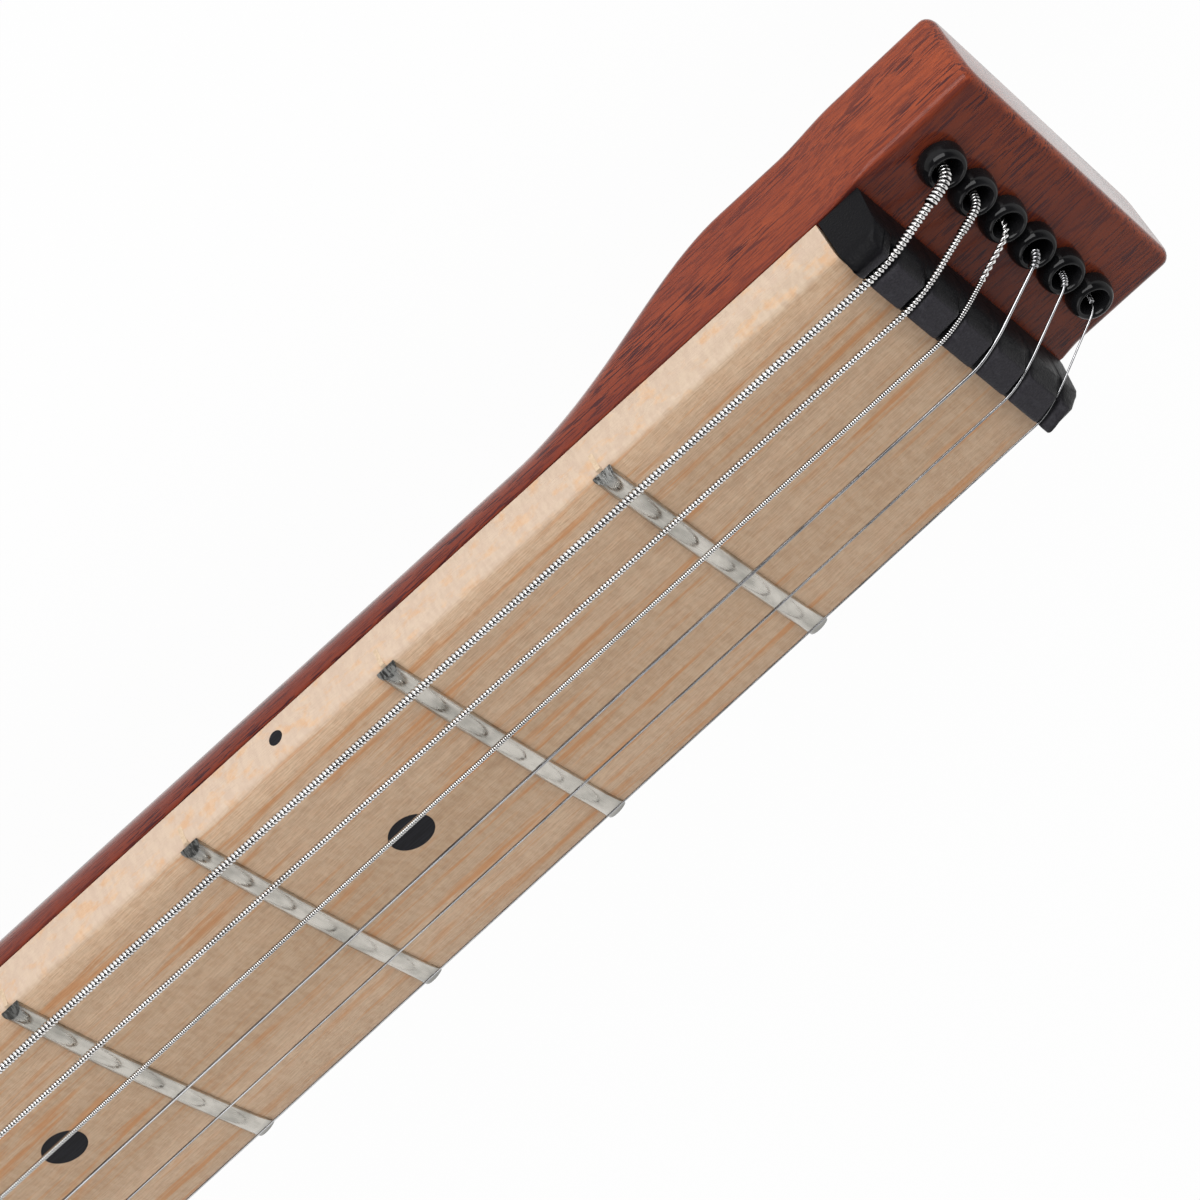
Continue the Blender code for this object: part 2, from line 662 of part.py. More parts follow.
def groove_section(index):
    """Outline of a string groove, round the string with its clearance and open at the top."""
    reach = STRING_DIAMETERS[index] / 2 + GAP
    half = [(reach * 0.6, -reach * 0.9), (reach, 0), (reach, CUT_PAST)]
    return [(-y, z) for y, z in reversed(half)] + half


def make_nut(finish):
    """Sloped block, chamfered at both ends, with a groove for each string."""
    half = NUT_WIDTH / 2 - 0.1 * MM
    top_half = NUT_TOP_HALF_WIDTH
    front = BOARD_TOP + STRING_OVER_BOARD_AT_NUT
    rear = front - NUT_FALL
    shoulder = BOARD_TOP - 0.6 * MM
    stations = [(NUT_FRONT, front - 0.5 * MM), (NUT_FRONT + 0.5 * MM, front), (NUT_REAR - 1.7 * MM, rear),
                (NUT_REAR - 1.1 * MM, rear - 0.5 * MM), (NUT_REAR, BODY_THICKNESS + 2.4 * MM)]
    rings = []
    for x, top in stations:
        side = min(shoulder, top - 0.6 * MM)
        ring = [(-half, BOARD_BOTTOM), (-half, side), (-top_half - 0.4 * MM, top - 0.2 * MM),
                (-top_half + 0.6 * MM, top)]
        ring += [(-y, z) for y, z in reversed(ring)]
        rings.append([Vector((x, y, z)) for y, z in ring])
    bm = bmesh.new()
    loft(bm, rings)
    nut = add_object("nut", bm, finish, sharp=25)
    bm = bmesh.new()
    for i in range(6):
        low, crown, rear, mouth = nut_route(i)
        beyond = rear + (mouth - rear) * 0.6
        section = [Vector((0, y, z)) for y, z in groove_section(i)]
        loft(bm, [[place + point for point in section] for place in (low, crown, rear, beyond)])
    combine(nut, add_object("cut_nut_slots", bm), "DIFFERENCE")
    return nut


def make_ferrules(finish):
    seat = BODY_THICKNESS + GAP
    top = seat + FERRULE_HEIGHT
    foot = BODY_THICKNESS - FERRULE_STEM_LENGTH
    profile = [(FERRULE_BORE, foot), (FERRULE_STEM, foot), (FERRULE_STEM, seat), (FERRULE_RADIUS, seat),
               (FERRULE_RADIUS, seat + FERRULE_HEIGHT * 0.35),
               (FERRULE_RADIUS * 0.9, seat + FERRULE_HEIGHT * 0.75), (FERRULE_RADIUS * 0.72, top),
               (FERRULE_BORE + 0.15 * MM, top - 0.15 * MM), (FERRULE_BORE, top - 0.6 * MM)]
    for i, name in enumerate(STRING_NAMES):
        place = (SCALE + FERRULE_X, ferrule_y(i), 0)
        bm = bmesh.new()
        lathe(bm, profile, 12, Matrix.Translation(place))
        add_object("ferrule_" + name, bm, finish, place)


# Strings

def string_route(index):
    """Points and radii: ball end, ferrule, nut, saddle, and the winding on the post."""
    radius = STRING_DIAMETERS[index] / 2
    fx, fy = SCALE + FERRULE_X, ferrule_y(index)
    ball = HEAD_BACK + BALL_ABOVE_BACK
    thick = max(1.7 * radius, 0.45 * MM)
    rise = BODY_THICKNESS + GAP + FERRULE_HEIGHT
    before, crown, rear, mouth = nut_route(index)
    towards = (rear - mouth).normalized()
    points = [(Vector((fx, fy, ball - BALL_HALF_LENGTH)), 0.9 * MM),
              (Vector((fx, fy, ball - 1.2 * MM)), BALL_RADIUS),
              (Vector((fx, fy, ball + 1.2 * MM)), BALL_RADIUS), (Vector((fx, fy, ball + 1.6 * MM)), thick),
              (Vector((fx, fy, rise - 0.8 * MM)), thick),
              (Vector((fx - 0.1 * MM, fy, rise)), thick), (mouth, thick),
              (mouth + towards * 3 * MM, thick), (mouth + towards * 4 * MM, radius)]
    points += [(rear, radius), (crown, radius), (before, radius)]
    bend = saddle_place(index)
    px, py, side = post_place(index)
    coil = POST_WAIST + GAP + radius
    away = Vector((px - bend.x, py - bend.y))
    start = math.atan2(-away.y, -away.x) - side * math.acos(coil / away.length)
    pitch = 2 * radius + WINDING_GAP
    top = DECK_TOP + WINDING_TOP_ABOVE_DECK
    points.append((bend + Vector((1.2 * MM, 0, 0)), radius))
    winding = []
    for step in range(POINTS_PER_TURN * WINDING_TURNS + 1):
        turn = step / POINTS_PER_TURN
        angle = start - side * 2 * math.pi * turn
        winding.append(Vector((px + coil * math.cos(angle), py + coil * math.sin(angle), top - pitch * turn)))
    leave = (winding[0] - bend).normalized()
    points.append((bend + leave * 1.2 * MM, radius))
    points += [(p, radius) for p in winding]
    return points, winding


def least_gap(winding, radius):
    """Least distance between turns of a winding, from surface to surface."""
    gap = 1.0
    for i, one in enumerate(winding):
        for other in winding[i + POINTS_PER_TURN // 2:]:
            gap = min(gap, (one - other).length - 2 * radius)
    return gap


def make_strings(finishes):
    for i, name in enumerate(STRING_NAMES):
        radius = STRING_DIAMETERS[i] / 2
        points, winding = string_route(i)
        curve = bpy.data.curves.new("string_" + name, "CURVE")
        curve.dimensions = "3D"
        curve.bevel_depth = radius
        curve.bevel_resolution = 1
        curve.use_fill_caps = True
        spline = curve.splines.new("POLY")
        spline.points.add(len(points) - 1)
        for slot, (place, size) in zip(spline.points, points):
            slot.co = (*place, 1)
            slot.radius = size / radius
        curve.materials.append(finishes[0] if i < 3 else finishes[1])
        bpy.context.scene.collection.objects.link(bpy.data.objects.new("string_" + name, curve))
        print("string_" + name, "least gap in its winding, mm", round(least_gap(winding, radius) / MM, 3))


# Bridge and saddles

def make_bridge_plate(finish):
    bottom = BODY_THICKNESS + GAP
    bm = bmesh.new()
    extrude(bm, rounded_rectangle(BRIDGE_REAR, BRIDGE_FRONT, -BRIDGE_HALF_WIDTH, BRIDGE_HALF_WIDTH, 3 * MM),
            bottom, bottom + BRIDGE_THICKNESS)
    plate = add_object("bridge_plate", bm, finish)
    bm = bmesh.new()
    extrude(bm, rounded_rectangle(BRIDGE_REAR, BRIDGE_REAR + 2 * MM, -BRIDGE_HALF_WIDTH + 6 * MM,
                                  BRIDGE_HALF_WIDTH - 6 * MM, 0.6 * MM),
            bottom + BRIDGE_THICKNESS / 2, bottom + BRIDGE_WALL_HEIGHT)
    combine(plate, add_object("form_bridge_wall", bm), "UNION")
    return plate


def make_saddles(finish):
    floor = BODY_THICKNESS + BRIDGE_THICKNESS + 2 * GAP
    for i, name in enumerate(STRING_NAMES):
        radius = STRING_DIAMETERS[i] / 2
        place = saddle_place(i)
        top = place.z - radius * 0.4
        rear_x, rear_z = SADDLE_NOSE - SADDLE_LENGTH, floor + SADDLE_REAR_HEIGHT
        profile = [(SADDLE_NOSE, floor), (SADDLE_NOSE, top - 1.4 * MM), (0.9 * MM, top), (-0.5 * MM, top),
                   (-4.5 * MM, top - 2.2 * MM), (rear_x, rear_z), (rear_x, floor)]
        bm = bmesh.new()
        rings = []
        for y in (-SADDLE_WIDTH / 2, SADDLE_WIDTH / 2):
            rings.append([Vector((place.x + x, place.y + y, z)) for x, z in profile])
        loft(bm, rings)
        saddle = add_object("saddle_" + name, bm, finish, (place.x, place.y, floor))
        bm = bmesh.new()
        rings = []
        for x, fall in ((-8 * MM, 1.8 * MM), (-0.5 * MM, 0.15 * MM), (6 * MM, 0)):
            rings.append([place + Vector((x, y, z - fall)) for y, z in groove_section(i)])
        loft(bm, rings)
        combine(saddle, add_object("cut_saddle_" + name, bm), "DIFFERENCE")


# Pickup and its ring

def make_pickup(finish):
    top = string_z(2, PICKUP_X) - PICKUP_BELOW_STRINGS
    bobbin_top = top - POLE_RISE
    x0, x1 = PICKUP_X - PICKUP_LENGTH / 2, PICKUP_X + PICKUP_LENGTH / 2
    half = PICKUP_WIDTH / 2
    bm = bmesh.new()
    extrude(bm, rounded_rectangle(x0, x1, -half, half, 2.5 * MM), BODY_THICKNESS - PICKUP_DEPTH + 1 * MM,
            bobbin_top - BOBBIN_HEIGHT)
    pickup = add_object("humbucker", bm, finish)
    bm = bmesh.new()
    split = 0.25 * MM
    for low, high in ((x0 + BOBBIN_INSET, PICKUP_X - split), (PICKUP_X + split, x1 - BOBBIN_INSET)):
        extrude(bm, rounded_rectangle(low, high, -half + BOBBIN_INSET, half - BOBBIN_INSET, 2.2 * MM),
                bobbin_top - 3 * MM, bobbin_top)
    combine(pickup, add_object("form_bobbins", bm), "UNION")
    bm = bmesh.new()
    pole = rod_profile(POLE_RADIUS, bobbin_top - 1 * MM, top)
    for x in (PICKUP_X - PICKUP_LENGTH / 4, PICKUP_X + PICKUP_LENGTH / 4):
        for i in range(6):
            lathe(bm, pole, 8, Matrix.Translation((x, string_y(i, x), 0)))
    combine(pickup, add_object("form_pole_pieces", bm), "UNION")
    return pickup


def make_pickup_ring(finish):
    bottom = BODY_THICKNESS + GAP
    top = bottom + RING_THICKNESS

    def outline_of(length, width, radius):
        return rounded_rectangle(PICKUP_X - length / 2, PICKUP_X + length / 2, -width / 2, width / 2, radius)

    outer = outline_of(RING_LENGTH, RING_WIDTH, 3 * MM)
    upper = outline_of(RING_LENGTH - 2 * RING_CHAMFER, RING_WIDTH - 2 * RING_CHAMFER, 2.5 * MM)
    inner = outline_of(PICKUP_LENGTH + 2 * RING_ROOM, PICKUP_WIDTH + 2 * RING_ROOM, 2.8 * MM)
    sections = [(outer, bottom), (outer, top - RING_CHAMFER), (upper, top), (inner, top), (inner, bottom)]
    bm = bmesh.new()
    rings = [[bm.verts.new((x, y, z)) for x, y in outline] for outline, z in sections]
    count = len(outer)
    for low, high in zip(rings, rings[1:] + rings[:1]):
        for i in range(count):
            j = (i + 1) % count
            bm.faces.new((low[i], low[j], high[j], high[i]))
    return add_object("pickup_ring", bm, finish)


# Controls

def make_controls(knob_finish, metal):
    cavity_top = BODY_THICKNESS - CAVITY_ROOF
    can_top = cavity_top - GAP
    can_bottom = can_top - POT_DEPTH
    nut_low = BODY_THICKNESS + GAP
    nut_high = nut_low + POT_NUT_HEIGHT
    bore = SHAFT_RADIUS + GAP
    bore_floor = can_bottom + 4 * MM
    for word, x in (("volume", VOLUME_X), ("tone", TONE_X)):
        place = (x, KNOB_Y, nut_high)
        bm = bmesh.new()
        profile = [(0, can_bottom), (POT_RADIUS, can_bottom), (POT_RADIUS, can_top),
                   (POT_BUSHING_RADIUS, can_top), (POT_BUSHING_RADIUS, nut_low), (POT_NUT_RADIUS, nut_low),
                   (POT_NUT_RADIUS, nut_high - 0.3 * MM), (bore + 0.6 * MM, nut_high), (bore, nut_high),
                   (bore, bore_floor), (0, bore_floor)]
        lathe(bm, profile, 14, Matrix.Translation((x, KNOB_Y, 0)))
        add_object(word + "_pot", bm, metal)
        low = nut_high + KNOB_LIFT
        high = low + KNOB_HEIGHT
        rows = [(SHAFT_RADIUS, bore_floor + GAP, False), (SHAFT_RADIUS, low, False),
                (KNOB_RADIUS * 0.96, low, False), (KNOB_RADIUS, low + 0.8 * MM, True),
                (KNOB_RADIUS * 0.95, high - 1.6 * MM, True), (KNOB_RADIUS * 0.86, high - 0.5 * MM, False),
                (KNOB_RADIUS * 0.6, high, False)]
        rings = []
        for radius, z, knurled in rows:
            ring = []
            for i in range(2 * KNOB_RIBS):
                angle = math.pi * i / KNOB_RIBS
                reach = radius - (KNURL_DEPTH if knurled and i % 2 else 0)
                ring.append(Vector((x + reach * math.cos(angle), KNOB_Y + reach * math.sin(angle), z)))
            rings.append(ring)
        bm = bmesh.new()
        loft(bm, rings)
        add_object(word + "_knob", bm, knob_finish, place)


def make_control_cover(finish):
    bm = bmesh.new()
    extrude(bm, cavity_outline(COVER_LIP, 5.7 * MM), GAP, GAP + COVER_THICKNESS)
    return add_object("control_cover", bm, finish)


def make_jack(metal, plate_finish):
    seat = BODY_HALF_WIDTH - JACK_SEAT_DEPTH
    place = (JACK_X, 0, JACK_Z)
    inside = seat - JACK_DEPTH
    plate_out = seat + GAP + JACK_PLATE_THICKNESS
    nut_low = plate_out + GAP
    nut_high = nut_low + JACK_NUT_HEIGHT
    barrel_end = nut_high + JACK_BARREL_PAST_NUT
    can_front, bore_floor = seat - 1.5 * MM, inside + 2 * MM
    bm = bmesh.new()
    profile = [(0, inside), (JACK_CAN, inside), (JACK_CAN, can_front), (JACK_BARREL, can_front),
               (JACK_BARREL, nut_low), (JACK_NUT_RADIUS, nut_low), (JACK_NUT_RADIUS, nut_high),
               (JACK_BARREL, nut_high), (JACK_BARREL, barrel_end), (JACK_BORE, barrel_end),
               (JACK_BORE, bore_floor), (0, bore_floor)]
    lathe(bm, profile, 14, along((0, -1, 0), place))
    add_object("jack_socket", bm, metal)
    bm = bmesh.new()
    hole, plate_in = JACK_BARREL + GAP, seat + GAP
    lathe(bm, [(hole, plate_in), (JACK_PLATE_RADIUS, plate_in), (JACK_PLATE_RADIUS, plate_out - 0.5 * MM),
               (JACK_PLATE_RADIUS - 0.8 * MM, plate_out), (hole, plate_out)], 18, along((0, -1, 0), place))
    add_object("jack_plate", bm, plate_finish)


# Rests and strap buttons

def rest_path(side, reach):
    """Rod's centre line from the rear socket round to the front one."""
    inner = BODY_HALF_WIDTH - REST_SOCKET_DEPTH + 1 * MM
    outer = BODY_HALF_WIDTH + reach
    middle = (REST_REAR_X + REST_FRONT_X) / 2
    half = (REST_FRONT_X - REST_REAR_X) / 2
    waist = REST_WAIST if side < 0 else -REST_WAIST * 0.6
    straight = half - REST_BEND
    points = [(half, inner), (half, BODY_HALF_WIDTH + 6 * MM), (half, outer - REST_BEND)]
    for i in (1, 2, 3):
        angle = math.radians(90 * i / 4)
        points.append((straight + REST_BEND * math.cos(angle), outer + REST_BEND * (math.sin(angle) - 1)))
    points.append((straight, outer))
    for share in (0.75, 0.5, 0.25, 0.0):
        fall = waist * 0.5 * (1 + math.cos(math.pi * share))
        points.append((straight * share, outer - fall))
    path = [Vector((middle - x, side * y, REST_Z)) for x, y in points]
    path += [Vector((middle + x, side * y, REST_Z)) for x, y in reversed(points[:-1])]
    return path


def make_rest(name, side, reach, finish):
    path = rest_path(side, reach)
    rings = []
    for i, place in enumerate(path):
        before = path[max(i - 1, 0)]
        after = path[min(i + 1, len(path) - 1)]
        ahead = (after - before).normalized()
        flat, up = Vector((-ahead.y, ahead.x, 0)), Vector((0, 0, 1))
        ring = []
        for k in range(8):
            angle = 2 * math.pi * k / 8
            ring.append(place + REST_ROD_RADIUS * (math.cos(angle) * flat + math.sin(angle) * up))
        rings.append(ring)
    bm = bmesh.new()
    loft(bm, rings)
    return add_object(name, bm, finish, ((REST_REAR_X + REST_FRONT_X) / 2, side * BODY_HALF_WIDTH, REST_Z))


def make_strap_buttons(finish):
    neck, rim, length = STRAP_BUTTON_NECK, STRAP_BUTTON_RADIUS, STRAP_BUTTON_LENGTH
    profile = [(0, GAP), (rim * STRAP_FOOT_SHARE, GAP), (neck, 3 * MM), (neck, length * 0.62),
               (rim, length * 0.82), (rim, length * 0.92), (rim * 0.6, length), (0, length)]
    for name, axis, place in strap_button_places():
        bm = bmesh.new()
        lathe(bm, profile, 12, along(axis, place))
        add_object(name, bm, finish)


# Truss rod

def make_truss_rod(finish):
    front = WHEEL_X - WHEEL_LENGTH / 2
    rear = WHEEL_X + WHEEL_LENGTH / 2
    end = SCALE - TRUSS_STOP_BEFORE_NUT - 1 * MM
    profile = [(0, front), (WHEEL_RADIUS - 0.6 * MM, front), (WHEEL_RADIUS, front + 0.6 * MM),
               (WHEEL_RADIUS, rear - 0.6 * MM), (WHEEL_RADIUS - 0.6 * MM, rear), (TRUSS_RADIUS, rear),
               (TRUSS_RADIUS, end), (0, end)]
    bm = bmesh.new()
    lathe(bm, profile, 12, along((1, 0, 0), (0, 0, TRUSS_Z)))
    rod = add_object("truss_rod", bm, finish, (WHEEL_X, 0, TRUSS_Z))
    bm = bmesh.new()
    profile = rod_profile(WHEEL_HOLE_RADIUS, WHEEL_RADIUS - WHEEL_HOLE_DEPTH, WHEEL_RADIUS + CUT_PAST)
    for i in range(WHEEL_HOLES):
        angle = math.radians(360 * i / WHEEL_HOLES + 15)
        spoke = (0, math.cos(angle), math.sin(angle))
        lathe(bm, profile, 6, along(spoke, (WHEEL_X, 0, TRUSS_Z)))
    combine(rod, add_object("cut_wheel_holes", bm), "DIFFERENCE")
    return rod


# Tuners

def wheel_outline(turn):
    """Worm wheel outline, with the middle of a gap at angle 0 before the turn is added."""
    root = (WHEEL_PITCH_RADIUS - TOOTH_DEDENDUM, TOOTH_HALF * 1.45)
    tip = (WHEEL_PITCH_RADIUS + TOOTH_ADDENDUM, TOOTH_HALF * 0.62)
    step = 2 * math.pi / WHEEL_TEETH
    points = []
    for tooth in range(WHEEL_TEETH):
        middle = (tooth + 0.5) * step + turn
        for (radius, half), flank in ((root, -1), (tip, -1), (tip, 1), (root, 1)):
            points.append((radius, middle + flank * half / radius))
    return [(radius * math.cos(angle), radius * math.sin(angle)) for radius, angle in points]


def make_post(index, finish):
    """Post with its waist, its string hole and the worm wheel at its foot."""
    x, y = post_place(index)[:2]
    top = DECK_TOP + POST_ABOVE_DECK
    foot = WORM_Z - WHEEL_FACE / 2 - POST_PAST_WHEEL
    waist_low = DECK_TOP + BUSHING_FLANGE_THICKNESS + 2 * GAP + POST_STEP
    waist_high = DECK_TOP + WINDING_TOP_ABOVE_DECK + 1.4 * MM
    bm = bmesh.new()
    profile = [(0, foot), (POST_RADIUS, foot), (POST_RADIUS, waist_low), (POST_WAIST, waist_low + POST_STEP),
               (POST_WAIST, waist_high - 0.6 * MM), (POST_RADIUS, waist_high), (POST_RADIUS, top - 0.5 * MM),
               (POST_RADIUS - 0.6 * MM, top), (0, top)]
    lathe(bm, profile, 12, Matrix.Translation((x, y, 0)))
    post = add_object("tuner_post_" + STRING_NAMES[index], bm, finish, (x, y, WORM_Z))
    lead = TOOTH_PITCH / (2 * math.pi * WORM_PITCH_RADIUS)
    twist = lead * WHEEL_FACE / 2 / WHEEL_PITCH_RADIUS
    bm = bmesh.new()
    rings = []
    for turn, z in ((-twist, WORM_Z - WHEEL_FACE / 2), (twist, WORM_Z + WHEEL_FACE / 2)):
        rings.append([Vector((x + px, y + py, z)) for px, py in wheel_outline(turn)])
    loft(bm, rings)
    combine(post, add_object("form_wheel_" + STRING_NAMES[index], bm), "UNION")
    bm = bmesh.new()
    reach = POST_RADIUS + CUT_PAST
    lathe(bm, rod_profile(STRING_HOLE_RADIUS, -reach, reach), 6,
          along((1, 0, 0), (x, y, DECK_TOP + WINDING_TOP_ABOVE_DECK - 0.8 * MM)))
    combine(post, add_object("cut_post_hole_" + STRING_NAMES[index], bm), "DIFFERENCE")


def make_key(index, metal):
    """Button, shaft and worm: one piece that turns about its own length."""
    x, y, side = post_place(index)
    centre = Vector((x + WORM_OFFSET, y, WORM_Z))
    edge = deck_half_width(x + WORM_OFFSET) - abs(y)
    button = edge + BUTTON_PAST_DECK
    inner = -EAR_INNER - EAR_THICKNESS - SHAFT_PAST_EAR
    bm = bmesh.new()
    lathe(bm, rod_profile(WORM_CORE_RADIUS, inner, button + SHAFT_IN_BUTTON), 8, along((0, side, 0), centre))
    key = add_object("tuner_key_" + STRING_NAMES[index], bm, metal, centre)
    bm = bmesh.new()
    steps = int(WORM_STEPS_PER_TURN * WORM_TURNS)
    rings = []
    for i in range(steps + 1):
        turn = (i / steps - 0.5) * WORM_TURNS * 2 * math.pi
        ahead = TOOTH_PITCH * turn / (2 * math.pi)
        spoke = Vector((-math.cos(turn), 0, math.sin(turn)))
        profile = [(WORM_CORE_RADIUS - GAP, -THREAD_HALF_ROOT), (WORM_CREST_RADIUS, -THREAD_HALF_CREST),
                   (WORM_CREST_RADIUS, THREAD_HALF_CREST), (WORM_CORE_RADIUS - GAP, THREAD_HALF_ROOT)]
        rings.append([centre + spoke * reach + Vector((0, ahead + shift, 0)) for reach, shift in profile])
    loft(bm, rings)
    combine(key, add_object("form_worm_" + STRING_NAMES[index], bm), "UNION")
    bm = bmesh.new()
    rings = []
    stations = ((0.0, 0.4, 0.3), (0.15, 0.85, 0.45), (0.5, 1.0, 0.5), (0.88, 0.75, 0.38), (1.0, 0.35, 0.18))
    for share, wide, thick in stations:
        ring = []
        for k in range(10):
            angle = 2 * math.pi * k / 10
            ring.append(centre + Vector((BUTTON_HALF_WIDTH * wide * math.cos(angle),
                                         side * (button + BUTTON_LENGTH * share),
                                         BUTTON_HALF_WIDTH * thick * math.sin(angle))))
        rings.append(ring)
    loft(bm, rings)
    combine(key, add_object("form_button_" + STRING_NAMES[index], bm), "UNION")


def make_tuner_plate(index, finish):
    """Base plate under the deck, with the two ears that carry the worm's shaft."""
    x, y = post_place(index)[:2]
    ear_outer = EAR_INNER + EAR_THICKNESS
    worm_x = x + WORM_OFFSET
    low_x, high_x = x - PLATE_REAR, worm_x + WORM_CREST_RADIUS + PLATE_FRONT
    half = ear_outer + PLATE_MARGIN
    bm = bmesh.new()
    extrude(bm, rounded_rectangle(low_x, high_x, y - half, y + half, 2 * MM, 2), PLATE_BOTTOM,
            PLATE_BOTTOM + PLATE_THICKNESS)
    plate = add_object("tuner_plate_" + STRING_NAMES[index], bm, finish)
    bm = bmesh.new()
    reach = WORM_CORE_RADIUS + GAP + EAR_WALL
    for middle in (y - EAR_INNER - EAR_THICKNESS / 2, y + EAR_INNER + EAR_THICKNESS / 2):
        block(bm, (worm_x - reach, middle - EAR_THICKNESS / 2, WORM_Z - WORM_CORE_RADIUS - GAP - EAR_WALL),
              (worm_x + reach, middle + EAR_THICKNESS / 2, PLATE_BOTTOM + PLATE_THICKNESS / 2))
    combine(plate, add_object("form_ears_" + STRING_NAMES[index], bm), "UNION")
    bm = bmesh.new()
    reach = ear_outer + CUT_PAST
    lathe(bm, rod_profile(WORM_CORE_RADIUS + GAP, -reach, reach), 8, along((0, 1, 0), (worm_x, y, WORM_Z)))
    combine(plate, add_object("cut_ears_" + STRING_NAMES[index], bm), "DIFFERENCE")
    bm = bmesh.new()
    lathe(bm, rod_profile(POST_RADIUS + GAP, PLATE_BOTTOM - CUT_PAST, DECK_BOTTOM + CUT_PAST), 12,
          Matrix.Translation((x, y, 0)))
    combine(plate, add_object("cut_post_in_plate_" + STRING_NAMES[index], bm), "DIFFERENCE")


def make_bushing(index, finish):
    bore, foot, seat = POST_RADIUS + GAP, DECK_TOP - BUSHING_LENGTH, DECK_TOP + GAP
    top = seat + BUSHING_FLANGE_THICKNESS
    profile = [(bore, foot), (BUSHING_RADIUS, foot), (BUSHING_RADIUS, seat), (BUSHING_FLANGE, seat),
               (BUSHING_FLANGE, top - 0.4 * MM), (BUSHING_FLANGE - 0.6 * MM, top), (bore, top)]
    bm = bmesh.new()
    lathe(bm, profile, 10, Matrix.Translation((*post_place(index)[:2], 0)))
    add_object("tuner_bushing_" + STRING_NAMES[index], bm, finish)


def build():
    clear_scene()
    mahogany = material("mahogany", (0.34, 0.11, 0.05), 0.35)
    maple = material("maple", (0.72, 0.52, 0.33), 0.4)
    black_plastic = material("black_plastic", (0.02, 0.02, 0.022), 0.3)
    black_metal = material("black_metal", (0.015, 0.015, 0.017), 0.25, 0.7)
    wound = material("wound_steel", (0.45, 0.45, 0.46), 0.35, 1.0)
    plain = material("plain_steel", (0.6, 0.6, 0.62), 0.2, 1.0)
    make_neck_body(mahogany)
    make_fingerboard(maple)
    make_nut(black_plastic)
    make_ferrules(black_metal)
    make_strings((wound, plain))
    make_bridge_plate(black_metal)
    make_saddles(black_metal)
    make_pickup(black_plastic)
    make_pickup_ring(black_plastic)
    make_controls(black_plastic, plain)
    make_control_cover(black_plastic)
    make_jack(plain, black_metal)
    make_rest("lap_rest", -1, LAP_REST_REACH, black_metal)
    make_rest("arm_rest", 1, ARM_REST_REACH, black_metal)
    make_strap_buttons(black_metal)
    make_truss_rod(plain)
    for i in range(6):
        make_post(i, black_metal)
        make_key(i, black_metal)
        make_tuner_plate(i, black_metal)
        make_bushing(i, black_metal)


build()
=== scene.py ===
# Looks of the headless travel electric guitar: finishes, wound strings, frets, nut, ferrules and screws.
# Metres, in the part's frame: X runs to the head, Y to the bass side, Z out of the playing face.
import math

import bmesh
import bpy
import numpy as np
from mathutils import Matrix, Vector


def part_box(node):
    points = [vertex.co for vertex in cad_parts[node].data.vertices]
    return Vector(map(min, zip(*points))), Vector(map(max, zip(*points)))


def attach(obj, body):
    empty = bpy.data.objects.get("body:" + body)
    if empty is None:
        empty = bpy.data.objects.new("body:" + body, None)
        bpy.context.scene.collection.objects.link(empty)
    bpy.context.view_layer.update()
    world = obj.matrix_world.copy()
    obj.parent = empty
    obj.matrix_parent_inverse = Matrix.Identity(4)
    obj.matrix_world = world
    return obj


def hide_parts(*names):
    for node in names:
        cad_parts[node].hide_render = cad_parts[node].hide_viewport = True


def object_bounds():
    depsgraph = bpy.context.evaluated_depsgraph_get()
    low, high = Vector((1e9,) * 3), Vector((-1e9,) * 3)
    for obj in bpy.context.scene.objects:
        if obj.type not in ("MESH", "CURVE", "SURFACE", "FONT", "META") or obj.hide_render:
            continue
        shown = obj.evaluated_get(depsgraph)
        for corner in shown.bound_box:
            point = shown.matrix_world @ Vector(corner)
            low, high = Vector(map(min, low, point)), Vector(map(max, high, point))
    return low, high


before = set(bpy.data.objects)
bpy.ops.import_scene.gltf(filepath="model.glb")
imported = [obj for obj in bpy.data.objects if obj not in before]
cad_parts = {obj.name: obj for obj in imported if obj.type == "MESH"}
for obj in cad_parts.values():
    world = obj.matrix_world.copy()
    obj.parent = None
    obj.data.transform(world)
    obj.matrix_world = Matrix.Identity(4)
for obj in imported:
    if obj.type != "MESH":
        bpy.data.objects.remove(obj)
cad_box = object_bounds()

MM = 0.001
GAP = 0.3 * MM
CUT_PAST = 4 * MM

# Strings and scale
SCALE = 648 * MM
STRING_NAMES = ["e6", "a5", "d4", "g3", "b2", "e1"]
STRING_DIAMETERS = [1.17 * MM, 0.91 * MM, 0.66 * MM, 0.43 * MM, 0.33 * MM, 0.25 * MM]
SPREAD_AT_NUT = 35.66 * MM
SPREAD_AT_BRIDGE = 51.8 * MM
STRING_OVER_BOARD_AT_NUT = 2.4 * MM
STRING_OVER_BOARD_AT_BRIDGE = 4.6 * MM
COMPENSATION = [3.2 * MM, 2.4 * MM, 1.7 * MM, 2.6 * MM, 1.6 * MM, 0.8 * MM]
WINDING_TURNS = 2
POINTS_PER_TURN = 12
WINDING_GAP = 0.45 * MM
BALL_RADIUS = 1.9 * MM
BALL_ROOM = 0.5 * MM
BALL_HALF_LENGTH = 1.5 * MM
BALL_ABOVE_BACK = 2.3 * MM

# Fingerboard and frets
FRET_COUNT = 22
BOARD_RADIUS = 305 * MM
BOARD_THICKNESS = 7.0 * MM
NUT_WIDTH = 43 * MM
WIDTH_AT_FRET_12 = 52.1 * MM
BOARD_PAST_LAST_FRET = 8 * MM
BOARD_EDGE_ROUND = 1.1 * MM
FRET_WIDTH = 2.7 * MM
FRET_HEIGHT = 1.2 * MM

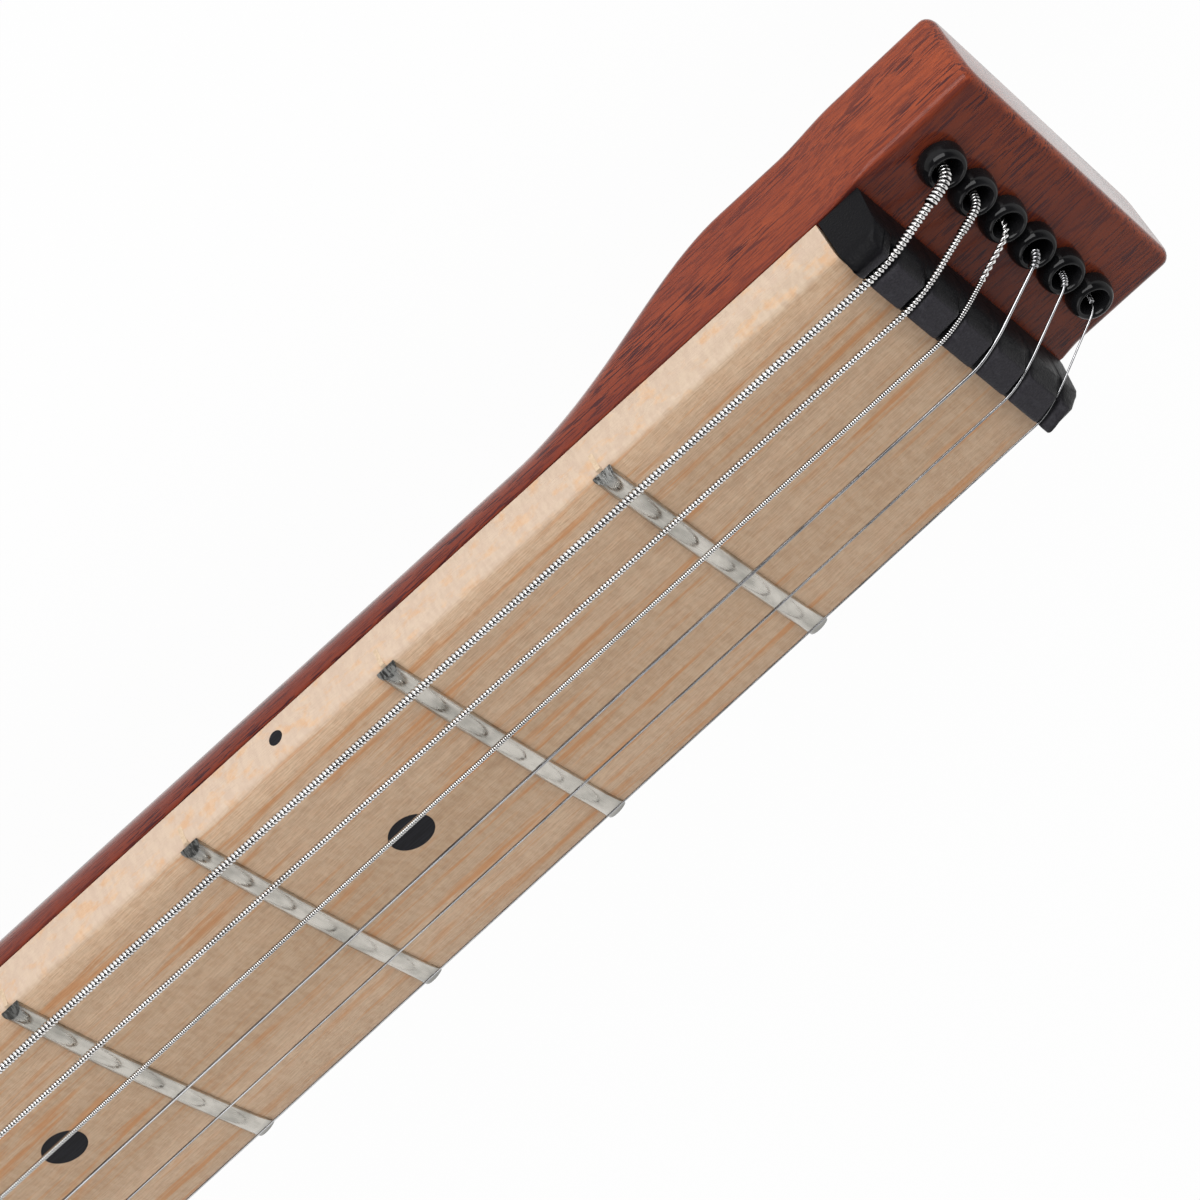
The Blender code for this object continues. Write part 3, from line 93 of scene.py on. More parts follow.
# Body and neck
BODY_THICKNESS = 40 * MM
BODY_HALF_WIDTH = 46.5 * MM
BODY_FRONT = 190 * MM
BODY_REAR = -46 * MM
BODY_EDGE = 5 * MM
NECK_DEPTH = 11 * MM
NECK_DEPTH_AT_HEEL = 14 * MM
HEEL_LENGTH = 42 * MM
HEEL_STEP = 22 * MM
SHOULDER_LENGTH = 70 * MM
SHOULDER_INSET = 6 * MM
FLARE_START = 39 * MM
FLARE_END = 9 * MM
HEAD_DEPTH = 12.8 * MM
HEAD_HALF_WIDTH = 22.2 * MM
HEAD_LENGTH = 24 * MM
HEAD_EDGE = 1.4 * MM
HEAD_EDGE_STEP = 0.65 * MM
HEAD_RAMP = 3 * MM
NECK_TOP_EDGE = 0.4 * MM
DECK_TOP = 32 * MM
DECK_BOTTOM = 17 * MM
TAIL_LENGTH = 132 * MM
TAIL_EDGE = 2 * MM
DECK_HALF_WIDTHS = [34 * MM, 31 * MM, 27.5 * MM, 19 * MM]

# Nut
NUT_THICKNESS = 6.1 * MM
NUT_TOP_HALF_WIDTH = 19.3 * MM
NUT_FALL = 1.4 * MM
NUT_CLEARANCE = 0.15 * MM

# Ferrules
FERRULE_X = 14.3 * MM
FERRULE_SPACING = 6.3 * MM
FERRULE_RADIUS = 2.9 * MM
FERRULE_HEIGHT = 2.3 * MM
FERRULE_BORE = 1.6 * MM
FERRULE_STEM = 2.3 * MM
FERRULE_STEM_LENGTH = 4 * MM
FERRULE_POCKET = 4.5 * MM

# Bridge
BRIDGE_FRONT = 10 * MM
BRIDGE_REAR = -31 * MM
BRIDGE_HALF_WIDTH = 40 * MM
BRIDGE_THICKNESS = 2 * MM
BRIDGE_WALL_HEIGHT = 4.6 * MM
SADDLE_CLEARANCE = 0.56 * MM
SADDLE_LENGTH = 17 * MM
SADDLE_NOSE = 2.2 * MM
SADDLE_REAR_HEIGHT = 3.4 * MM

# Pickup
PICKUP_X = 40 * MM
PICKUP_LENGTH = 37 * MM
PICKUP_WIDTH = 68 * MM
PICKUP_BELOW_STRINGS = 3 * MM
PICKUP_DEPTH = 20 * MM
PICKUP_ROOM = 1.5 * MM
POLE_RADIUS = 2.4 * MM
POLE_RISE = 0.6 * MM
BOBBIN_HEIGHT = 1.6 * MM
BOBBIN_INSET = 0.3 * MM
RING_BORDER = 4 * MM
RING_TAB = 9 * MM
RING_THICKNESS = 4 * MM
RING_ROOM = 0.5 * MM
RING_CHAMFER = 1.2 * MM

# Controls
KNOB_Y = -36 * MM
VOLUME_X = 88 * MM
TONE_X = 122 * MM
KNOB_RADIUS = 8.5 * MM
KNOB_HEIGHT = 11 * MM
POT_RADIUS = 8 * MM
POT_DEPTH = 9.5 * MM
POT_BUSHING_RADIUS = 3.6 * MM
SHAFT_RADIUS = 3.0 * MM
POT_NUT_RADIUS = 5.6 * MM
POT_NUT_HEIGHT = 2 * MM
KNOB_LIFT = 0.6 * MM
KNOB_RIBS = 11
KNURL_DEPTH = 0.35 * MM
CAVITY_PAST_POT = 8 * MM
CAVITY_BESIDE_POT = 1.3 * MM
CAVITY_ROOF = 4.5 * MM
COVER_THICKNESS = 2 * MM
COVER_LIP = 2 * MM

# Output jack
JACK_X = -24 * MM
JACK_Z = 20 * MM
JACK_BORE = 3.25 * MM
JACK_BARREL = 4.5 * MM
JACK_CAN = 6.5 * MM
JACK_DEPTH = 26 * MM
JACK_PLATE_RADIUS = 10.5 * MM
JACK_PLATE_THICKNESS = 1.5 * MM
JACK_SEAT_DEPTH = 2 * MM
JACK_NUT_RADIUS = 6.2 * MM
JACK_NUT_HEIGHT = 1.8 * MM
JACK_BARREL_PAST_NUT = 0.7 * MM

# Lap rest and arm rest
REST_REAR_X = 12 * MM
REST_FRONT_X = 152 * MM
REST_Z = 14 * MM
REST_ROD_RADIUS = 4 * MM
REST_SOCKET_DEPTH = 26 * MM
REST_SOCKET_CLEARANCE = 0.35 * MM
LAP_REST_REACH = 78 * MM
ARM_REST_REACH = 52 * MM
REST_WAIST = 14 * MM
REST_BEND = 22 * MM

# Strap buttons
STRAP_BUTTON_RADIUS = 6.5 * MM
STRAP_BUTTON_NECK = 3.6 * MM
STRAP_BUTTON_LENGTH = 11 * MM
STRAP_BUTTON_X = 172 * MM
STRAP_FOOT_SHARE = 0.8
STRAP_SEAT_DEPTH = 1.5 * MM
STRAP_SEAT_AT_TAIL = 0.8 * MM

# Truss rod
TRUSS_RADIUS = 2.4 * MM
TRUSS_DROP = 4.4 * MM
WHEEL_RADIUS = 5 * MM
WHEEL_LENGTH = 6 * MM
WHEEL_BEFORE_BOARD = 4 * MM
TRUSS_STOP_BEFORE_NUT = 12 * MM
TRUSS_ROOM = 0.5 * MM
WHEEL_ROOM = 1 * MM
WHEEL_HOLES = 6
WHEEL_HOLE_RADIUS = 0.8 * MM
WHEEL_HOLE_DEPTH = 1.7 * MM

# Tuners: worm on the button shaft, worm wheel on the post
POST_XY = [(-72 * MM, 27 * MM), (-95 * MM, 24 * MM), (-118 * MM, 20 * MM)]
POST_RADIUS = 3.0 * MM
POST_WAIST = 2.7 * MM
POST_ABOVE_DECK = 11.5 * MM
POST_STEP = 0.8 * MM
POST_PAST_WHEEL = 1 * MM
STRING_HOLE_RADIUS = 0.9 * MM
WINDING_TOP_ABOVE_DECK = 8.6 * MM
BUSHING_RADIUS = 4.4 * MM
BUSHING_FLANGE = 5.8 * MM
BUSHING_FLANGE_THICKNESS = 1.2 * MM
BUSHING_LENGTH = 10 * MM
PLATE_THICKNESS = 1.2 * MM
WHEEL_TEETH = 14
TOOTH_PITCH = 2.4 * MM
WHEEL_FACE = 2.2 * MM
TOOTH_ADDENDUM = 0.7 * MM
TOOTH_DEDENDUM = 0.85 * MM
TOOTH_HALF = 0.45 * MM
WORM_PITCH_RADIUS = 2.4 * MM
WORM_CREST_RADIUS = 3.05 * MM
WORM_CORE_RADIUS = 1.55 * MM
THREAD_HALF_ROOT = 0.6 * MM
THREAD_HALF_CREST = 0.28 * MM
WORM_TURNS = 2.25
WORM_STEPS_PER_TURN = 10
EAR_THICKNESS = 1.5 * MM
EAR_WALL = 0.6 * MM
EAR_CLEARANCE = 0.35 * MM
PLATE_MARGIN = 1 * MM
PLATE_REAR = 6.5 * MM
PLATE_FRONT = 2 * MM
WORM_UNDER_PLATE = 0.5 * MM
SHAFT_PAST_EAR = 0.6 * MM
SHAFT_IN_BUTTON = 2 * MM
BUTTON_HALF_WIDTH = 7.6 * MM
BUTTON_LENGTH = 14 * MM
BUTTON_PAST_DECK = 3 * MM

# Worked out from the sizes above
BOARD_TOP = BODY_THICKNESS + BOARD_THICKNESS
BOARD_BOTTOM = BODY_THICKNESS + GAP
FRET_TAPER = (WIDTH_AT_FRET_12 - NUT_WIDTH) / (SCALE / 2)
SADDLE_WIDTH = SPREAD_AT_BRIDGE / 5 - SADDLE_CLEARANCE
RING_LENGTH = PICKUP_LENGTH + 2 * RING_BORDER
RING_WIDTH = PICKUP_WIDTH + 2 * RING_TAB
CAVITY_MARGIN = POT_RADIUS + CAVITY_PAST_POT
CAVITY_HALF_WIDTH = POT_RADIUS + CAVITY_BESIDE_POT
WHEEL_PITCH_RADIUS = WHEEL_TEETH * TOOTH_PITCH / (2 * math.pi)
WORM_OFFSET = WHEEL_PITCH_RADIUS + WORM_PITCH_RADIUS
PLATE_BOTTOM = DECK_BOTTOM - GAP - PLATE_THICKNESS
WORM_Z = PLATE_BOTTOM - WORM_UNDER_PLATE - WORM_CREST_RADIUS
WORM_HALF_LENGTH = WORM_TURNS * TOOTH_PITCH / 2 + THREAD_HALF_ROOT
EAR_INNER = WORM_HALF_LENGTH + EAR_CLEARANCE
HEAD_END = SCALE + HEAD_LENGTH
HEAD_BACK = BODY_THICKNESS - HEAD_DEPTH
BOARD_END = SCALE * 2 ** (-FRET_COUNT / 12) - BOARD_PAST_LAST_FRET
NUT_FRONT = SCALE + NUT_CLEARANCE
NUT_REAR = SCALE + NUT_THICKNESS
TRUSS_Z = BODY_THICKNESS - TRUSS_DROP
WHEEL_X = BOARD_END - WHEEL_BEFORE_BOARD - WHEEL_LENGTH / 2

# Camera, as the photograph was taken: close to the head, rolled so that the bass side is at the top
CAMERA_PLACE = (0.7085479, 0.3055356, 0.3476642)
CAMERA_AIM = (0.5991010, 0.0075154, 0.047)
CAMERA_ROLL = 151.777
CAMERA_LENS = 113.082

SMOOTH_ANGLE = 38
MARKED_FRETS = [3, 5, 7, 9, 12, 15, 17, 19, 21]
DOT_RADIUS = 3.0 * MM
SIDE_DOT_RADIUS = 1.0 * MM
WRAP_PITCH = [0.54 * MM, 0.45 * MM, 0.30 * MM]


# Mesh tools

def piece(name, bm, finish, body="guitar", replaced=(), sharp=SMOOTH_ANGLE):
    """Put a bmesh into the scene as a piece that rides on a body."""
    bmesh.ops.recalc_face_normals(bm, faces=bm.faces)
    mesh = bpy.data.meshes.new(name)
    bm.to_mesh(mesh)
    bm.free()
    return mesh_piece(name, mesh, finish, body, replaced, sharp)


def mesh_piece(name, mesh, finish, body="guitar", replaced=(), sharp=SMOOTH_ANGLE):
    mesh.shade_smooth()
    mesh.set_sharp_from_angle(angle=math.radians(sharp))
    mesh.materials.append(finish)
    made = bpy.data.objects.new(name, mesh)
    bpy.context.scene.collection.objects.link(made)
    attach(made, body)
    if replaced:
        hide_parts(*replaced)
    return made


def loft(bm, sections):
    """Skin rings of equal count and close both ends."""
    rings = [[bm.verts.new(p) for p in ring] for ring in sections]
    count = len(rings[0])
    for low, high in zip(rings, rings[1:]):
        for i in range(count):
            j = (i + 1) % count
            bm.faces.new((low[i], low[j], high[j], high[i]))
    bm.faces.new(rings[0][::-1])
    bm.faces.new(rings[-1])


def lathe(bm, profile, segments, to_world=Matrix.Identity(4)):
    """Turn a closed profile of (radius, height) points about the local Z axis."""
    rings = []
    for radius, height in profile:
        if radius < 1e-9:
            rings.append([bm.verts.new(to_world @ Vector((0, 0, height)))])
            continue
        ring = []
        for i in range(segments):
            angle = 2 * math.pi * i / segments
            point = Vector((radius * math.cos(angle), radius * math.sin(angle), height))
            ring.append(bm.verts.new(to_world @ point))
        rings.append(ring)
    closed = len(rings[0]) > 1 and len(rings[-1]) > 1
    pairs = list(zip(rings, rings[1:]))
    if closed:
        pairs.append((rings[-1], rings[0]))
    for low, high in pairs:
        for i in range(segments):
            j = (i + 1) % segments
            corners = [low[i % len(low)], low[j % len(low)], high[j % len(high)], high[i % len(high)]]
            bm.faces.new(list(dict.fromkeys(corners)))


def extrude(bm, outline, low, high):
    """Extrude an outline of (x, y) points from z=low to z=high."""
    loft(bm, [[Vector((x, y, z)) for x, y in outline] for z in (low, high)])


def rounded_rectangle(x0, x1, y0, y1, radius, steps=3):
    corners = [(x1 - radius, y1 - radius, 0), (x0 + radius, y1 - radius, 90),
               (x0 + radius, y0 + radius, 180), (x1 - radius, y0 + radius, 270)]
    points = []
    for cx, cy, start in corners:
        for i in range(steps + 1):
            angle = math.radians(start + 90 * i / steps)
            points.append((cx + radius * math.cos(angle), cy + radius * math.sin(angle)))
    return points


def block(bm, low, high):
    extrude(bm, [(low[0], low[1]), (high[0], low[1]), (high[0], high[1]), (low[0], high[1])], low[2], high[2])


def along(axis, centre):
    """Matrix that turns local Z to the axis and moves to the centre."""
    turn = Vector((0, 0, 1)).rotation_difference(Vector(axis)).to_matrix().to_4x4()
    return Matrix.Translation(centre) @ turn


def smooth_curve(points, value):
    """Read a monotone cubic through (x, value) points, so that it never overshoots."""
    if value <= points[0][0]:
        return points[0][1]
    if value >= points[-1][0]:
        return points[-1][1]
    slopes = [(b[1] - a[1]) / (b[0] - a[0]) for a, b in zip(points, points[1:])]
    i = max(k for k in range(len(slopes)) if points[k][0] <= value)

    def tangent(k):
        if k == 0 or k == len(slopes):
            return 0.0
        left, right = slopes[k - 1], slopes[k]
        if left * right <= 0:
            return 0.0
        return 2 * left * right / (left + right)

    span = points[i + 1][0] - points[i][0]
    t = (value - points[i][0]) / span
    t2, t3 = t * t, t * t * t
    return ((2 * t3 - 3 * t2 + 1) * points[i][1] + (t3 - 2 * t2 + t) * span * tangent(i)
            + (3 * t2 - 2 * t3) * points[i + 1][1] + (t3 - t2) * span * tangent(i + 1))


# Places shared with the CAD

def board_half_width(x):
    return (NUT_WIDTH + FRET_TAPER * (SCALE - x)) / 2


def board_drop(y):
    return BOARD_RADIUS - math.sqrt(BOARD_RADIUS ** 2 - y ** 2)


def string_y(index, x):
    share = 1 - 2 * index / 5
    spread = SPREAD_AT_BRIDGE + (SPREAD_AT_NUT - SPREAD_AT_BRIDGE) * x / SCALE
    return share * spread / 2


def string_z(index, x):
    height = (STRING_OVER_BOARD_AT_BRIDGE
              + (STRING_OVER_BOARD_AT_NUT - STRING_OVER_BOARD_AT_BRIDGE) * x / SCALE)
    return BOARD_TOP + height - board_drop(string_y(index, x))


def ferrule_y(index):
    return (2.5 - index) * FERRULE_SPACING


def post_place(index):
    """Centre of a string's post and its side: 1 is the bass side."""
    if index < 3:
        return (*POST_XY[index], 1)
    x, y = POST_XY[5 - index]
    return (x, -y, -1)


def deck_half_width(x):
    stations = [(-TAIL_LENGTH, DECK_HALF_WIDTHS[3]), (POST_XY[2][0], DECK_HALF_WIDTHS[2]),
                (POST_XY[1][0], DECK_HALF_WIDTHS[1]), (POST_XY[0][0], DECK_HALF_WIDTHS[0]),
                (POST_XY[0][0] + 12 * MM, DECK_HALF_WIDTHS[0] + 3 * MM),
                (BODY_REAR, BODY_HALF_WIDTH - 2.5 * MM), (BODY_REAR + 20 * MM, BODY_HALF_WIDTH)]
    return smooth_curve(stations, x)


def fret_x(number):
    return SCALE * 2 ** (-number / 12)


def nut_route(index):
    """A string's way over the nut: before it, on its crown, over its back edge, at the ferrule's mouth."""
    y, z = string_y(index, SCALE), string_z(index, SCALE)
    before = Vector((SCALE - 2 * MM, y, z))
    crown = Vector((SCALE + 1.2 * MM, y, z))
    mouth_z = BODY_THICKNESS + GAP + FERRULE_HEIGHT + 0.6 * MM
    mouth = Vector((SCALE + FERRULE_X - 0.5 * MM, ferrule_y(index), mouth_z))
    rear = crown + (mouth - crown) * 0.28 + Vector((0, 0, 0.5 * MM))
    return before, crown, rear, mouth


# Materials

class Finish:
    """A Principled material with short helpers for its node pattern, in the object's own coordinates."""

    def __init__(self, name, roughness, metallic=0.0, **constants):
        self.material = bpy.data.materials.new(name)
        self.material.use_nodes = True
        self.tree = self.material.node_tree
        self.shader = self.tree.nodes["Principled BSDF"]
        self.shader.inputs["Roughness"].default_value = roughness
        self.shader.inputs["Metallic"].default_value = metallic
        for socket, value in constants.items():
            self.shader.inputs[socket.replace("_", " ")].default_value = value
        self.place = self.node("ShaderNodeTexCoord").outputs["Object"]

    def node(self, kind, **settings):
        made = self.tree.nodes.new(kind)
        for key, value in settings.items():
            setattr(made, key, value)
        return made

    def link(self, out, into):
        self.tree.links.new(out, into)

    def noise(self, stretch, detail=3.0, rough=0.55, shift=0.0):
        """Noise with this many features per metre along each axis."""
        mapping = self.node("ShaderNodeMapping")
        mapping.inputs["Scale"].default_value = stretch
        mapping.inputs["Location"].default_value = (shift, shift * 1.7, shift * 0.6)
        self.link(self.place, mapping.inputs["Vector"])
        texture = self.node("ShaderNodeTexNoise")
        texture.inputs["Scale"].default_value = 1.0
        texture.inputs["Detail"].default_value = detail
        texture.inputs["Roughness"].default_value = rough
        self.link(mapping.outputs["Vector"], texture.inputs["Vector"])
        return texture.outputs["Fac"]

    def span(self, value, low, high, out_low=0.0, out_high=1.0):
        """Map low..high to out_low..out_high and clamp."""
        made = self.node("ShaderNodeMapRange", clamp=True)
        self.link(value, made.inputs["Value"])
        for socket, number in (("From Min", low), ("From Max", high), ("To Min", out_low), ("To Max", out_high)):
            made.inputs[socket].default_value = number
        return made.outputs["Result"]

    def math(self, operation, first, second):
        made = self.node("ShaderNodeMath", operation=operation)
        for socket, value in zip(made.inputs, (first, second)):
            if isinstance(value, (int, float)):
                socket.default_value = value
            else:
                self.link(value, socket)
        return made.outputs["Value"]

    def mix(self, share, first, second, blend="MIX"):
        """Blend two colours, each a tuple or a node output."""
        made = self.node("ShaderNodeMix", data_type="RGBA", blend_type=blend)
        for socket, value in ((made.inputs[0], share), (made.inputs[6], first), (made.inputs[7], second)):
            if isinstance(value, (int, float)):
                socket.default_value = value
            elif isinstance(value, tuple):
                socket.default_value = (*value, 1)
            else:
                self.link(value, socket)
        return made.outputs[2]

    def colour(self, value):
        self.link(value, self.shader.inputs["Base Color"])
        return self

    def rough(self, value):
        self.link(value, self.shader.inputs["Roughness"])
        return self

    def bump(self, height, distance, strength=1.0):
        made = self.node("ShaderNodeBump")
        made.inputs["Strength"].default_value = strength
        made.inputs["Distance"].default_value = distance
        self.link(height, made.inputs["Height"])
        self.link(made.outputs["Normal"], self.shader.inputs["Normal"])
        return self

    def facing(self, axis, low, high):
        """How far the surface faces along one of the object's own axes."""
        split = self.node("ShaderNodeSeparateXYZ")
        self.link(self.place.node.outputs["Normal"], split.inputs[0])
        return self.span(split.outputs[axis], low, high)

    def attribute(self, name):
        return self.node("ShaderNodeAttribute", attribute_name=name).outputs["Fac"]


def mahogany_finish():
    """Reddish brown wood with short dark pores along the grain under a satin lacquer; faces turned to +Z get painted
    shade, and rounded edges a painted highlight in lighter orange.
    """
    f = Finish("mahogany_lacquered", 0.36, Coat_Weight=1.0, Coat_Roughness=0.16, Coat_IOR=1.2, Specular_IOR_Level=0.05)
    bands = f.span(f.noise((4, 120, 120), 4), 0.38, 0.62)
    fibre = f.span(f.noise((520, 5200, 5200), 3, 0.6, shift=3), 0.40, 0.60)
    pores = f.span(f.noise((300, 4600, 4600), 2, 0.5, shift=9), 0.515, 0.575)
    patches = f.span(f.noise((30, 330, 330), 3, shift=5), 0.40, 0.62)
    wood = f.mix(bands, (0.290, 0.060, 0.023), (0.172, 0.032, 0.017))
    # Painted shade: faces turned to +Z are mixed towards a darker brown, as if lit only from the side.
    wood = f.mix(f.math("MULTIPLY", f.facing("Z", 0.75, 0.98), 0.55), wood, (0.050, 0.008, 0.004))
    wood = f.mix(f.math("MULTIPLY", fibre, 0.35), wood, (0.105, 0.022, 0.016))
    dark = f.math("MULTIPLY", pores, f.span(patches, 0, 1, 0.38, 0.95))
    wood = f.mix(dark, wood, (0.040, 0.012, 0.016))
    # Painted highlight: points on rounded edges are mixed towards a lighter orange.
    wood = f.mix(f.math("MULTIPLY", f.attribute("edge"), 0.38), wood, (0.44, 0.11, 0.03))
    f.colour(wood).rough(f.span(pores, 0, 1, 0.32, 0.46))
    return f.bump(f.math("SUBTRACT", f.math("MULTIPLY", fibre, 0.25), dark), 0.00005).material


def maple_finish():
    """Pale wood with fine lines along the neck, faint ripple across it and orange flecks."""
    f = Finish("maple_oiled", 0.45, Specular_IOR_Level=0.25)
    lines = f.span(f.noise((520, 5400, 5400), 2, 0.6), 0.38, 0.62)
    broad = f.span(f.noise((6, 120, 120), 4, shift=2), 0.36, 0.64)
    ripple = f.span(f.noise((1300, 500, 500), 3, 0.6, shift=7), 0.40, 0.62)
    flecks = f.span(f.noise((45, 620, 620), 4, 0.6, shift=4), 0.54, 0.66)
    spots = f.span(f.noise((330, 560, 560), 3, 0.6, shift=12), 0.52, 0.66)
    top = f.mix(broad, (0.645, 0.445, 0.296), (0.525, 0.348, 0.217))
    top = f.mix(f.math("MULTIPLY", lines, 0.45), top, (0.38, 0.24, 0.15))
    top = f.mix(f.math("MULTIPLY", ripple, 0.20), top, (0.76, 0.62, 0.45))
    top = f.mix(f.math("MULTIPLY", flecks, 0.75), top, (0.57, 0.25, 0.09))
    side = f.mix(broad, (0.515, 0.39, 0.30), (0.45, 0.34, 0.247))
    side = f.mix(f.math("MULTIPLY", spots, 0.50), side, (0.60, 0.32, 0.14))
    side = f.mix(f.math("MULTIPLY", ripple, 0.25), side, (0.68, 0.56, 0.42))
    f.colour(f.mix(f.attribute("edge"), top, side)).rough(f.span(lines, 0, 1, 0.40, 0.52))
    return f.bump(f.math("ADD", lines, f.math("MULTIPLY", ripple, 0.5)), 0.00002).material


def fret_finish():
    """Nickel alloy, polished across with fine scratches; the filed end facets are a painted dark reflection in grey."""
    f = Finish("fret_nickel", 0.3, 1.0)
    scratches = f.span(f.noise((2600, 160, 1200), 2, 0.6), 0.38, 0.64)
    stain = f.span(f.noise((400, 180, 300), 3, shift=5), 0.40, 0.66)
    # Painted dark reflection: the filed end facets (edge attribute) are mixed to dark grey.
    f.colour(f.mix(f.attribute("edge"), f.mix(stain, (0.58, 0.55, 0.50), (0.37, 0.355, 0.32)), (0.26, 0.26, 0.25)))
    return f.rough(f.span(scratches, 0, 1, 0.16, 0.34)).bump(scratches, 0.000003).material


def wire_finish(name, colour, dark, roughness):
    """Bright drawn or wound steel wire, with painted shade near black in the grooves between its wraps."""
    f = Finish(name, roughness, 1.0)
    stain = f.span(f.noise((120, 900, 900), 3), 0.40, 0.68)
    # Painted shade: points off the crests are mixed to near black, as shade in the grooves.
    f.colour(f.mix(f.span(f.attribute("crest"), 0.55, 1.0), (0.008, 0.008, 0.009), f.mix(stain, colour, dark)))
    return f.rough(f.span(f.noise((400, 3000, 3000), 2), 0.35, 0.65, roughness * 0.7, roughness * 1.4)).material


def nut_finish():
    """Filed black nut material: satin top with tiny pits and lighter scuffs; near black on the ends and rear slope, and
    painted shade in and beside the string slots.
    """
    f = Finish("nut_black", 0.5, Specular_IOR_Level=0.1)
    pits = f.span(f.noise((3500, 3500, 3500), 3, 0.6), 0.35, 0.65)
    scuffs = f.span(f.noise((1500, 500, 1500), 4, 0.6, shift=3), 0.54, 0.74)
    tone = f.mix(pits, (0.034, 0.032, 0.038), (0.022, 0.021, 0.025))
    tone = f.mix(f.math("MULTIPLY", scuffs, 0.35), tone, (0.07, 0.070, 0.078))
    # Near black where the edge attribute is set: the ends and rear slope, and painted shade in and beside the string
    # slots.
    f.colour(f.mix(f.attribute("edge"), tone, (0.004, 0.004, 0.005)))
    return f.rough(f.span(scuffs, 0, 1, 0.40, 0.62)).bump(pits, 0.00003).material


def gloss_black_finish(name, roughness=0.1):
    """Black chrome or polished plating with faint smears."""
    f = Finish(name, roughness, Specular_IOR_Level=0.1, Coat_Weight=0.15, Coat_Roughness=0.04)
    smear = f.span(f.noise((260, 260, 260), 4), 0.40, 0.66)
    f.colour(f.mix(smear, (0.0045, 0.0045, 0.005), (0.011, 0.011, 0.012)))
    return f.rough(f.span(smear, 0, 1, roughness * 0.7, roughness * 1.6)).material


def coated_metal_finish():
    """Satin black coating on metal: fine orange peel, and bare metal showing here and there."""
    f = Finish("black_coated_metal", 0.36, 0.35, Specular_IOR_Level=0.5)
    peel = f.span(f.noise((1500, 1500, 1500), 2), 0.30, 0.70)
    wear = f.span(f.noise((500, 500, 500), 5, 0.7, shift=6), 0.68, 0.76)
    tone = f.mix(peel, (0.020, 0.020, 0.022), (0.012, 0.012, 0.014))
    f.colour(f.mix(f.math("MULTIPLY", wear, 0.5), tone, (0.16, 0.155, 0.15)))
    return f.rough(f.span(peel, 0, 1, 0.30, 0.44)).bump(peel, 0.00002).material


def moulded_plastic_finish():
    """Black moulded plastic with a fine grain."""
    f = Finish("black_moulded_plastic", 0.42, Specular_IOR_Level=0.45)
    grain = f.span(f.noise((2600, 2600, 2600), 3, 0.6), 0.35, 0.65)
    dust = f.span(f.noise((220, 220, 220), 4, shift=8), 0.50, 0.75)
    tone = f.mix(grain, (0.020, 0.020, 0.021), (0.014, 0.014, 0.015))
    f.colour(f.mix(f.math("MULTIPLY", dust, 0.35), tone, (0.05, 0.05, 0.052)))
    return f.rough(f.span(dust, 0, 1, 0.36, 0.5)).bump(grain, 0.000025).material


def steel_finish():
    """Turned steel with fine rings and stains."""
    f = Finish("turned_steel", 0.28, 1.0)
    rings = f.span(f.noise((3200, 900, 900), 2), 0.35, 0.65)
    stain = f.span(f.noise((180, 180, 180), 4, shift=2), 0.42, 0.70)
    f.colour(f.mix(stain, (0.70, 0.70, 0.71), (0.50, 0.49, 0.47)))
    return f.rough(f.span(rings, 0, 1, 0.20, 0.40)).bump(rings, 0.00001).material


def brass_finish():
    f = Finish("brass_ball_end", 0.3, 1.0)
    stain = f.span(f.noise((900, 900, 900), 3), 0.40, 0.65)
    f.colour(f.mix(stain, (0.80, 0.58, 0.25), (0.55, 0.36, 0.14)))
    return f.rough(f.span(stain, 0, 1, 0.2, 0.45)).material


def dot_finish():
    """Black inlay, filed flush with the wood."""
    f = Finish("black_inlay", 0.4, Specular_IOR_Level=0.12)
    scratch = f.span(f.noise((300, 4000, 4000), 2), 0.42, 0.62)
    f.colour(f.mix(scratch, (0.006, 0.006, 0.008), (0.013, 0.013, 0.017)))
    return f.rough(f.span(scratch, 0, 1, 0.34, 0.5)).material


def slot_filler_finish():
    """Pale filler in the ends of the fret slots."""
    f = Finish("slot_filler", 0.6)
    grain = f.span(f.noise((2500, 2500, 2500), 2), 0.35, 0.65)
    f.colour(f.mix(grain, (0.50, 0.37, 0.25), (0.60, 0.46, 0.32)))
    return f.bump(grain, 0.00002).material


# Neck and body

